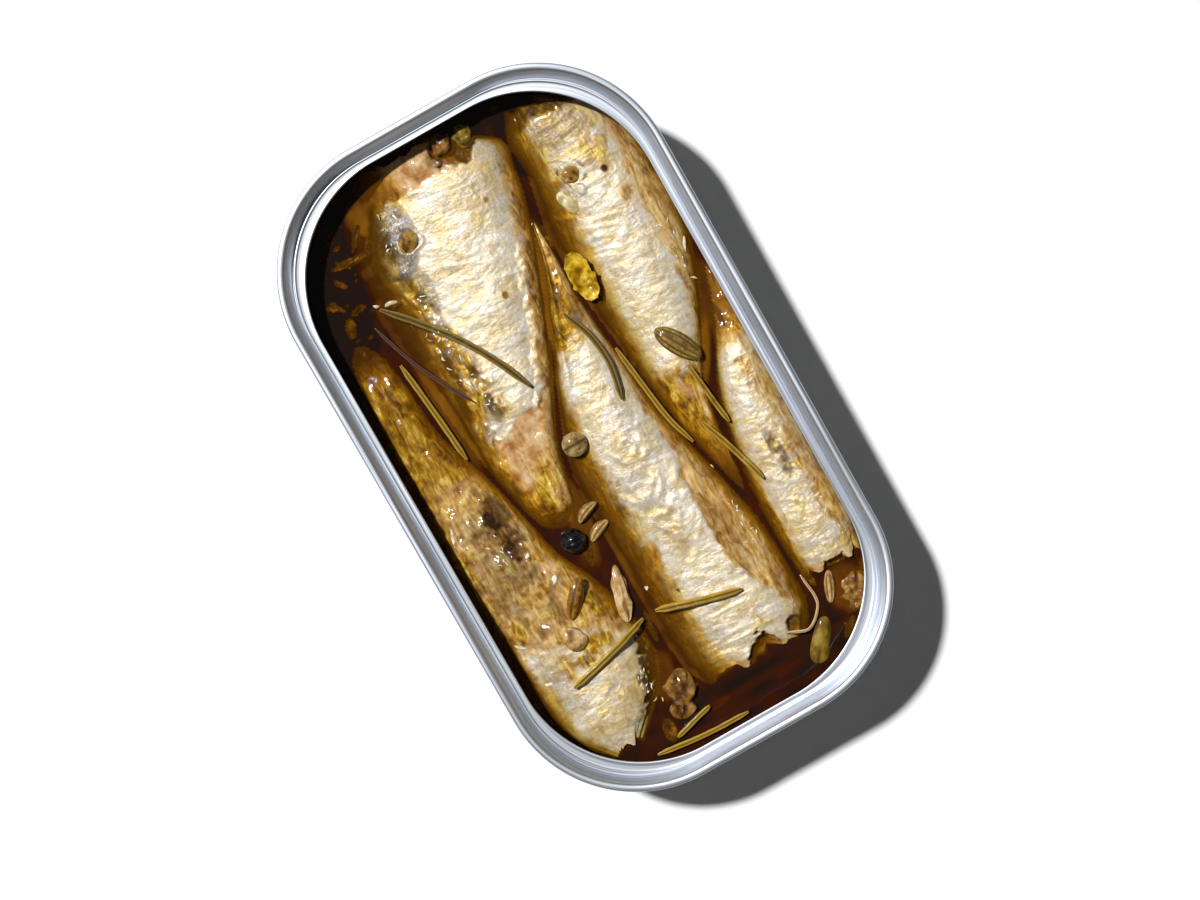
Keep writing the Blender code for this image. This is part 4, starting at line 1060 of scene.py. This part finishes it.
# The oil: amber and clear where it is thin over a fish, brown to black where it is deep. It creeps a little
# way up the skin and the can's wall. Scraps sunk in it show through.
OIL_ROWS = 400
OIL_TOP_COLUMNS = 230
OIL_UNDER_COLUMNS = 6
OIL_UNDER_WIDTH = 0.96
OIL_EASED_ENDS = 0.35
CLEAR = METAL + 0.3 * MM
CREEP_BAND = 0.13
CREEP_MOST = 0.45
WALL_CREEP = 0.15
WALL_CREEP_REACH = 0.6
BEAD_RISE = 0.15
VEIL_DEPTH = 3.2
DEEP = 7.0
SEEN_DEPTH = 3.0
RIGHT_END_SEEN = 5.8
# The brown corner at the lower left, where the oil is seen into deeper: middle and radii, and by how much
BROWN_CORNER = ((-47.0, -26.5), (22.5, 12.5))
BROWN_DEEPER = 4.2
# Patches where the oil is seen into to another depth: middle, radii, turn and that depth
SEEN_PATCHES = [
    ((8.0, 14.4), (10.0, 2.0), 8, 1.5), ((-20.0, 4.8), (13.0, 1.6), -20, 1.2),
    ((-11.0, -17.0), (11.0, 1.8), 3, 1.8), ((12.0, -7.6), (8.5, 2.2), -12, 1.6),
    ((-8.0, 25.2), (8.0, 2.6), -8, 2.0), ((40.0, 22.0), (5.0, 4.0), 0, 1.8),
    ((38.0, -8.5), (5.0, 2.5), -20, 2.0), ((-1.0, 20.6), (7.0, 1.3), -30, 1.2),
    # The narrow patches at (45.6, -3.4), (46.4, 8.6) and (-31.6, -20.6) are a painted glow: lighter amber
    # where light glows in the oil
    ((-42.5, -14.0), (5.0, 3.0), -50, 2.0), ((45.6, -3.4), (0.9, 3.0), 0, 2.6),
    ((46.4, 8.6), (0.7, 3.0), 8, 2.8), ((-31.6, -20.6), (0.9, 1.9), 10, 1.2),
    ((-42.5, 11.4), (7.0, 2.4), -6, 7.5),
]
# Scraps just under the surface: middle, radii, turn and depth. Flakes are added to them at random
SUNK_SCRAPS = [
    ((-38.4, -18.0), (3.2, 0.6), 87, 0.3), ((-36.2, -21.0), (1.2, 0.5), 35, 0.6),
    ((-31.7, -20.6), (0.5, 1.3), 12, 0.2), ((-29.8, -22.9), (1.6, 0.8), -20, 0.5),
    ((-41.2, -15.5), (1.8, 0.5), -40, 0.6), ((-33.6, -23.6), (1.3, 0.5), 60, 0.6),
    ((45.6, -11.4), (1.9, 1.0), -8, 0.25), ((45.4, 19.6), (1.8, 0.7), -48, 0.8),
    ((38.4, 25.8), (1.4, 0.7), -30, 0.5), ((-47.3, 10.5), (0.5, 2.0), 14, 0.8),
    ((16.4, -8.6), (2.2, 0.6), -24, 0.5), ((-27.3, 8.9), (2.0, 0.5), -8, 0.5),
    ((-42.6, -19.2), (1.5, 0.6), -48, 0.9), ((30.5, -6.2), (2.6, 0.5), -6, 0.45),
    ((36.0, 17.9), (1.6, 0.5), 10, 0.5),
]
FLAKES = 24
FLAKE_MIDDLE = (-36.5, -20.0)
FLAKE_SPREAD = (5.5, 2.4)
FLAKE_SIZES = (0.25, 0.8)
FLAKE_DEPTHS = (0.2, 1.0)
FLAKE_CLEAR = 1.6
SCRAP_HALF = 0.5
# Low beads that stand up from the oil: middle and radius
OIL_BEADS = [
    ((-29.6, -16.2), 1.5), ((-30.2, -18.5), 1.0), ((26.4, -5.4), 1.2), ((3.6, -26.0), 1.2),
    ((5.4, -26.4), 1.0), ((43.6, 4.4), 1.3), ((43.4, 7.2), 1.1), ((-12.5, -15.2), 0.9),
    ((-22.0, -16.6), 0.8), ((12.6, 17.2), 0.9),
]
OIL_INSET = SEAM_OVERHANG + WALL_LEAN * (WALL_TOP - OIL_LEVEL * MM) / WALL_TOP + CLEAR
OIL_HALF_LENGTH = TIN_LENGTH / 2 - OIL_INSET
OIL_HALF_WIDTH = TIN_WIDTH / 2 - OIL_INSET
OIL_CORNER = CORNER_RADIUS - OIL_INSET


def wall_distance(x, y):
    """How far a place lies inside the oil's outline: from a straight side, or from a round corner."""
    a = np.abs(x) - (OIL_HALF_LENGTH - OIL_CORNER)
    b = np.abs(y) - (OIL_HALF_WIDTH - OIL_CORNER)
    return OIL_CORNER - np.where((a > 0) & (b > 0), np.hypot(a, b), np.maximum(a, b))


flake_draws = np.random.default_rng(905)
for _ in range(FLAKES):
    spread = flake_draws.normal(0, 1, 2) * FLAKE_SPREAD
    size = flake_draws.uniform(*FLAKE_SIZES)
    flake_x, flake_y = FLAKE_MIDDLE[0] + spread[0], FLAKE_MIDDLE[1] + spread[1] - 0.25 * spread[0]
    flake_turn, flake_depth = flake_draws.uniform(0, 180), flake_draws.uniform(*FLAKE_DEPTHS)
    if wall_distance(flake_x * MM, flake_y * MM) > FLAKE_CLEAR * MM:
        SUNK_SCRAPS.append(((flake_x, flake_y), (size, 0.45 * size), flake_turn, flake_depth))

# A place on the oil: rows along the can, closer at its ends, and columns across its round outline
eased_rows = -np.cos(np.linspace(0, np.pi, OIL_ROWS))
oil_rows = eased_rows * OIL_EASED_ENDS + np.linspace(-1, 1, OIL_ROWS) * (1 - OIL_EASED_ENDS)
oil_x = (oil_rows * OIL_HALF_LENGTH)[:, None]
beyond_side = np.clip(np.abs(oil_x) - (OIL_HALF_LENGTH - OIL_CORNER), 0, OIL_CORNER)
oil_w = OIL_HALF_WIDTH - OIL_CORNER + np.sqrt(OIL_CORNER**2 - beyond_side**2)
top_share = np.linspace(-1, 1, OIL_TOP_COLUMNS)[None, :]
plan_x = np.broadcast_to(oil_x, (OIL_ROWS, OIL_TOP_COLUMNS)) / MM
plan_y = oil_w * top_share / MM
ground = fish_height(plan_x, plan_y)
scrap_mask = np.zeros(plan_x.shape)
for middle, radii, turn_deg, depth in SUNK_SCRAPS:
    a, b = oval_frame(plan_x, plan_y, middle, radii, turn_deg)
    apart = a * a + b * b
    crest = OIL_LEVEL - depth - SCRAP_HALF + SCRAP_HALF * np.sqrt(np.clip(1 - apart, 0, 1))
    scrap = np.where(apart < 1, crest, -1.0)
    scrap_mask = np.where(scrap > ground, 1.0, scrap_mask)
    ground = np.maximum(ground, scrap)
risen = CREEP_BAND * np.logaddexp(0, (ground - 0.1 - OIL_LEVEL) / CREEP_BAND)
swell = 0.05 * wander(plan_x, plan_y, 5.0, 501) + 0.02 * wander(plan_x, plan_y, 1.6, 502)
to_wall = wall_distance(plan_x * MM, plan_y * MM) / MM
surface = OIL_LEVEL + swell + np.minimum(risen, CREEP_MOST) + WALL_CREEP * np.exp(-to_wall / WALL_CREEP_REACH)
for middle, radius in OIL_BEADS:
    near = np.clip(1 - ((plan_x - middle[0]) ** 2 + (plan_y - middle[1]) ** 2) / radius**2, 0, None)
    surface = surface + BEAD_RISE * radius * near * near
oil_depth = np.clip(surface - np.maximum(ground, 0), 0, None)

# How deep the oil is seen into, and from that its veil, which hides what lies below, and its shade
seen = SEEN_DEPTH + 0.8 * wander(plan_x / 3.5, plan_y, 1.3, 511) + 0.5 * wander(plan_x / 2, plan_y, 0.6, 512)
# Painted shade: where the oil is deep, down in the narrow gaps between fish, it is seen deeper and so comes
# out darker
seen = seen + 2.3 * step(4.5, 9.0, oil_depth)
right_end = step(41, 44.5, plan_x)
streaks = 1 + 0.2 * wander(plan_x, plan_y / 3, 1.2, 513)
seen = seen * (1 - right_end) + RIGHT_END_SEEN * right_end * streaks
for middle, radii, turn_deg, depth in SEEN_PATCHES:
    share = patch(plan_x, plan_y, middle, radii, turn_deg)
    seen = seen * (1 - share) + depth * (1 + 0.25 * (seen - SEEN_DEPTH)) * share
corner = np.hypot(*oval_frame(plan_x, plan_y, *BROWN_CORNER, 0.0)) + 0.16 * wander(plan_x, plan_y, 3.0, 514)
deeper = BROWN_DEEPER * (1 + 0.7 * wander(plan_x, plan_y, 1.7, 515))
seen = seen + 12 * step(-45.5, -48.5, plan_x) + deeper * step(1.1, 0.8, corner)
seen = np.clip(seen + 0.8 * step(-26.0, -27.4, plan_y), 0.3, 20)
no_light = np.full((OIL_ROWS, OIL_UNDER_COLUMNS), 1.0)
out_of_sight = step(-0.9, 0.5, oil_depth - seen) * (scrap_mask < 0.5)
clouded = np.maximum(1 - np.exp(-oil_depth / VEIL_DEPTH), out_of_sight)
veil = np.concatenate((clouded, no_light), 1)
shade = np.concatenate((np.clip(np.minimum(oil_depth, seen) / DEEP, 0, 1), no_light), 1)

amber, shader, tree = new_material("amber_oil", (0.2, 0.08, 0.01), 0.12, coat=0.2, coat_roughness=0.06,
                                   specular=0.2)
shade_field = field(tree, "shade")
cloudy = noise(tree, add_node(tree, "TexCoord").outputs["Object"], 260.0, 3.0)
uneven = worked(tree, "MULTIPLY_ADD", cloudy, 0.16, -0.08)
put(tree, shader.inputs["Base Color"], ramp(tree, worked(tree, "ADD", shade_field, uneven), (
    (0.0, (0.30, 0.135, 0.004)), (0.15, (0.22, 0.088, 0.003)), (0.35, (0.105, 0.036, 0.002)),
    (0.65, (0.043, 0.0075, 0.001)), (0.95, (0.012, 0.006, 0.004)))))
put(tree, shader.inputs["Alpha"], field(tree, "veil"))
top = np.stack((plan_x * MM, plan_y * MM, surface * MM), -1)
under_share = np.linspace(1, -1, OIL_UNDER_COLUMNS)[None, :]
under = np.stack((np.broadcast_to(oil_x, no_light.shape), OIL_UNDER_WIDTH * oil_w * under_share,
                  np.full(no_light.shape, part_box("oil")[0].z)), -1)
add_piece("oil_bath", np.concatenate((top, under), 1), amber, {"veil": veil, "shade": shade}, ("oil",))

# The sunk scraps themselves, flakes of skin and herb just under the surface of the oil, and the pale flecks
# of torn skin that lie on the fish and catch the light. The single shreds among them are near white and
# placed where glints fall: painted highlights. Each kind is one mesh.
SCRAP_ROWS = 26
SCRAP_COLUMNS = 20
FLECK_ROWS = 9
FLECK_COLUMNS = 10
FLECK_THICKNESS = 0.07
FLECK_LENGTHS = (0.15, 0.5)
FLECK_WIDTHS = (0.06, 0.15)
FLECK_LIFT = 0.2
# Where flecks are scattered: middle, spread and how many
FLECK_FIELDS = [
    ((-20.0, -11.8), (8.0, 2.0), 26), ((-17.0, 24.4), (5.0, 1.0), 14), ((-30.0, 15.6), (2.6, 1.4), 8),
    ((38.0, -10.6), (2.6, 1.3), 12), ((9.0, -20.0), (7.0, 2.4), 12), ((36.0, 8.0), (2.6, 4.0), 8),
    ((-39.0, -11.5), (2.6, 1.6), 8), ((30.0, 25.0), (4.0, 1.0), 6), ((24.0, 13.0), (8.0, 1.2), 12),
]
# Single shreds, near white and placed where glints fall, as painted highlights: middle, radii and turn
PAINTED_GLINT_SHREDS = [
    ((4.4, -25.2), (1.5, 0.22), -18), ((23.6, -24.6), (1.0, 0.25), 50), ((30.6, -23.6), (0.7, 0.3), 80),
    ((-16.5, 26.0), (1.2, 0.22), -25), ((-30.2, -15.9), (1.0, 0.34), 82), ((25.2, -3.9), (0.35, 0.3), 0),
    ((17.2, -15.3), (0.8, 0.45), -50), ((12.3, -17.0), (0.6, 0.3), -20), ((-30.8, -18.0), (0.5, 0.25), 60),
]


def add_pebbles(name, grids, finish):
    """Many pebbles of one size of grid as one piece: the faces of the first, repeated for each."""
    points = np.stack([grid for grid, _ in grids])
    grooves = np.stack([groove for _, groove in grids])
    count, rows, columns = grooves.shape
    poles = np.stack((points[:, 0].mean(1), points[:, -1].mean(1)), 1)
    index = np.arange(rows * columns).reshape(rows, columns)
    beside = np.roll(index, -1, 1)
    faces = np.stack((index[:-1], beside[:-1], beside[1:], index[1:]), -1).reshape(-1, 4).tolist()
    faces += [(rows * columns, b, a) for a, b in zip(index[0], beside[0])]
    faces += [(rows * columns + 1, a, b) for a, b in zip(index[-1], beside[-1])]
    each = rows * columns + 2
    mesh = bpy.data.meshes.new(name)
    mesh.from_pydata(np.concatenate((points.reshape(count, -1, 3), poles), 1).reshape(-1, 3), [],
                     [[start + corner for corner in face] for start in range(0, count * each, each)
                      for face in faces])
    masks = np.concatenate((grooves.reshape(count, -1), np.zeros((count, 2))), 1)
    finish_piece(name, mesh, finish, {"groove": masks.reshape(-1, 1)})


sunk_gold = husk("sunk_gold", (0.018, 0.005, 0.001), (0.085, 0.030, 0.002), (0.36, 0.165, 0.012),
                 700.0, 0.8, 0.0)
add_pebbles("sunk_scraps", [
    pebble_grid((*middle, OIL_LEVEL - depth - SCRAP_HALF), (*radii, SCRAP_HALF), turn_deg,
                lumpy(0.5, 2.6, 600 + 2 * index), rows=SCRAP_ROWS, columns=SCRAP_COLUMNS)
    for index, (middle, radii, turn_deg, depth) in enumerate(SUNK_SCRAPS)
], sunk_gold)

fleck_draws = np.random.default_rng(917)
flecks = list(PAINTED_GLINT_SHREDS)
for middle, spread, count in FLECK_FIELDS:
    for _ in range(count):
        place = np.array(middle) + fleck_draws.normal(0, 0.5, 2) * spread
        size = (fleck_draws.uniform(*FLECK_LENGTHS), fleck_draws.uniform(*FLECK_WIDTHS))
        flecks.append((tuple(place), size, fleck_draws.normal(15, 45)))
fleck_x, fleck_y = np.array([middle for middle, _, _ in flecks]).T
fleck_z = np.maximum(fish_height(fleck_x, fleck_y), OIL_LEVEL + FLECK_LIFT)
# Its palest tone is near white, so that the shreds read as painted highlights
pale_skin_and_glints = husk("pale_skin_and_glints", (0.46, 0.36, 0.20), (0.78, 0.71, 0.56), (0.94, 0.93, 0.90), 900.0, 0.25)
add_pebbles("skin_flecks_and_glints", [
    pebble_grid((*middle, height), (*radii, FLECK_THICKNESS), turn_deg, lumpy(0.25, 1.5, 930 + index % 7),
                bend=0.15 * math.sin(index), rows=FLECK_ROWS, columns=FLECK_COLUMNS)
    for index, ((middle, radii, turn_deg), height) in enumerate(zip(flecks, fleck_z))
], pale_skin_and_glints)

# Herb needles, a stem and a rib bone: dry leaves rolled under at both sides, so that each shows two
# pale edges and a darker groove. They lie over the fish, as high as their solids do.
NEEDLE_RADIUS = 0.45
NEEDLE_ROWS = 110
NEEDLE_COLUMNS = 28
NEEDLE_NEAR = 1.2
NEEDLE_TIP = 0.06
NEEDLE_TAPER = 2.2
NEEDLE_FLATNESS = 0.9
GROOVE_HALF_ANGLE = 28
NEEDLES = {
    "needle_1": ([(-30.2, -17.8), (-25.0, -13.2), (-19.6, -9.1), (-14.6, -6.3), (-9.6, -4.1)], 1.2),
    "needle_2": ([(-21.6, -19.2), (-13.0, -18.3), (-4.6, -17.6)], 1.0),
    "needle_3": ([(-16.4, 5.4), (-12.4, 7.0), (-7.4, 7.7), (-1.2, 6.7)], 1.0),
    "needle_4": ([(-8.2, 9.6), (-1.0, 10.5), (5.0, 11.4), (9.6, 12.8)], 0.9),
    "needle_5": ([(-0.8, 17.6), (3.6, 18.1), (9.6, 18.9)], 0.9),
    "needle_6": ([(7.6, 15.3), (12.6, 17.1), (19.4, 19.2)], 1.0),
    "needle_7": ([(32.0, 8.2), (31.0, 4.0), (29.9, -0.3), (28.7, -4.5)], 1.25),
    "needle_8": ([(28.8, -6.6), (29.9, -10.2), (31.3, -15.2), (32.6, -20.6)], 1.1),
    "needle_9": ([(45.2, -4.4), (46.0, -7.4), (47.0, -10.9)], 0.9),
    "needle_10": ([(48.9, 0.2), (48.7, -7.0), (47.8, -14.8)], 0.9),
    "rib_bone": ([(34.8, 16.9), (40.2, 16.9), (42.4, 14.4), (41.2, 10.8)], 0.5),
    "stem": ([(-28.2, -19.8), (-21.0, -17.4), (-15.8, -14.9), (-11.4, -12.4)], 0.6),
}


def leaf_finish(name, groove_tone, body_tone, edge_tone):
    """A dry leaf by its edge mask: dark in the groove, pale on the rolled edges, streaked along."""
    made, shader, tree = new_material(name, body_tone, 0.5, coat=0.3, coat_roughness=0.1, specular=0.1)
    fine = noise(tree, field(tree, "run", "Vector"), 1.0, 4.0, 0.6)
    shifted = worked(tree, "ADD", field(tree, "edge"), worked(tree, "MULTIPLY_ADD", fine, 0.9, -0.45))
    wet_colour(tree, ramp(tree, shifted, ((0.05, groove_tone), (0.45, body_tone), (0.95, edge_tone))), shader)
    bump(tree, shader, fine, 0.6, 0.1 * MM)
    return made


def add_needle(name, finish, groove):
    """A tapered tube along its path, with a groove along its top, at the height of its solid.

    Its height at a place is the average of the solid's own points near there.
    """
    path, share = NEEDLES[name]
    points = np.array(path)
    run = np.concatenate(([0.0], np.cumsum(np.hypot(*np.diff(points, axis=0).T))))
    u = np.linspace(0, 1, NEEDLE_ROWS)
    x = smooth_through(run, points[:, 0], u * run[-1])
    y = smooth_through(run, points[:, 1], u * run[-1])
    solid = np.array([v.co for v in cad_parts[name].data.vertices]) / MM
    near = np.exp(-((solid[:, 0] - x[:, None]) ** 2 + (solid[:, 1] - y[:, None]) ** 2) / NEEDLE_NEAR**2)
    z = (near * solid[:, 2]).sum(1) / near.sum(1)
    swelling = np.sin(np.pi * (NEEDLE_TIP + (1 - 2 * NEEDLE_TIP) * u))
    radius = NEEDLE_RADIUS * share * np.minimum(NEEDLE_TAPER * swelling, 1)
    side = np.stack((-np.gradient(y, u), np.gradient(x, u)), 1)
    side /= np.linalg.norm(side, axis=1)[:, None]
    angle = np.linspace(0, 2 * np.pi, NEEDLE_COLUMNS, endpoint=False)
    notch = np.exp(-((np.degrees(angle) - 90) / GROOVE_HALF_ANGLE) ** 2)
    wide = radius[:, None] * np.cos(angle) * (1 + 0.08 * wander(u[:, None] * run[-1], angle, 0.8, 701))
    high = radius[:, None] * (np.sin(angle) * NEEDLE_FLATNESS - groove * notch)
    rows = np.stack((x[:, None] + side[:, :1] * wide, y[:, None] + side[:, 1:] * wide, z[:, None] + high), -1)
    edge = np.broadcast_to(np.abs(np.cos(angle)) ** 0.7, wide.shape)
    place = np.stack(np.broadcast_arrays(0.5 * u[:, None] * run[-1], 2.5 * angle, len(name) + 0.0 * wide), -1)
    add_piece(name + "_leaf", rows * MM, finish, {"edge": edge, "run": place},
              (name,))


herb = leaf_finish("dry_herb", (0.045, 0.026, 0.005), (0.13, 0.080, 0.014), (0.27, 0.19, 0.055))
golden_herb = leaf_finish("oily_herb", (0.09, 0.047, 0.004), (0.27, 0.155, 0.011), (0.47, 0.31, 0.045))
bone = leaf_finish("thin_bone", (0.24, 0.12, 0.035), (0.46, 0.29, 0.12), (0.70, 0.52, 0.30))
purple_stem = leaf_finish("purple_stem", (0.03, 0.012, 0.012), (0.08, 0.034, 0.028), (0.16, 0.085, 0.055))
# What isn't of the golden herb: its finish, and its groove's depth as a share of its radius
own_finish = {"stem": (purple_stem, 0.1), "rib_bone": (bone, 0.0),
              "needle_1": (herb, 0.5), "needle_3": (herb, 0.5)}
for name in NEEDLES:
    add_needle(name, *own_finish.get(name, (golden_herb, 0.35)))
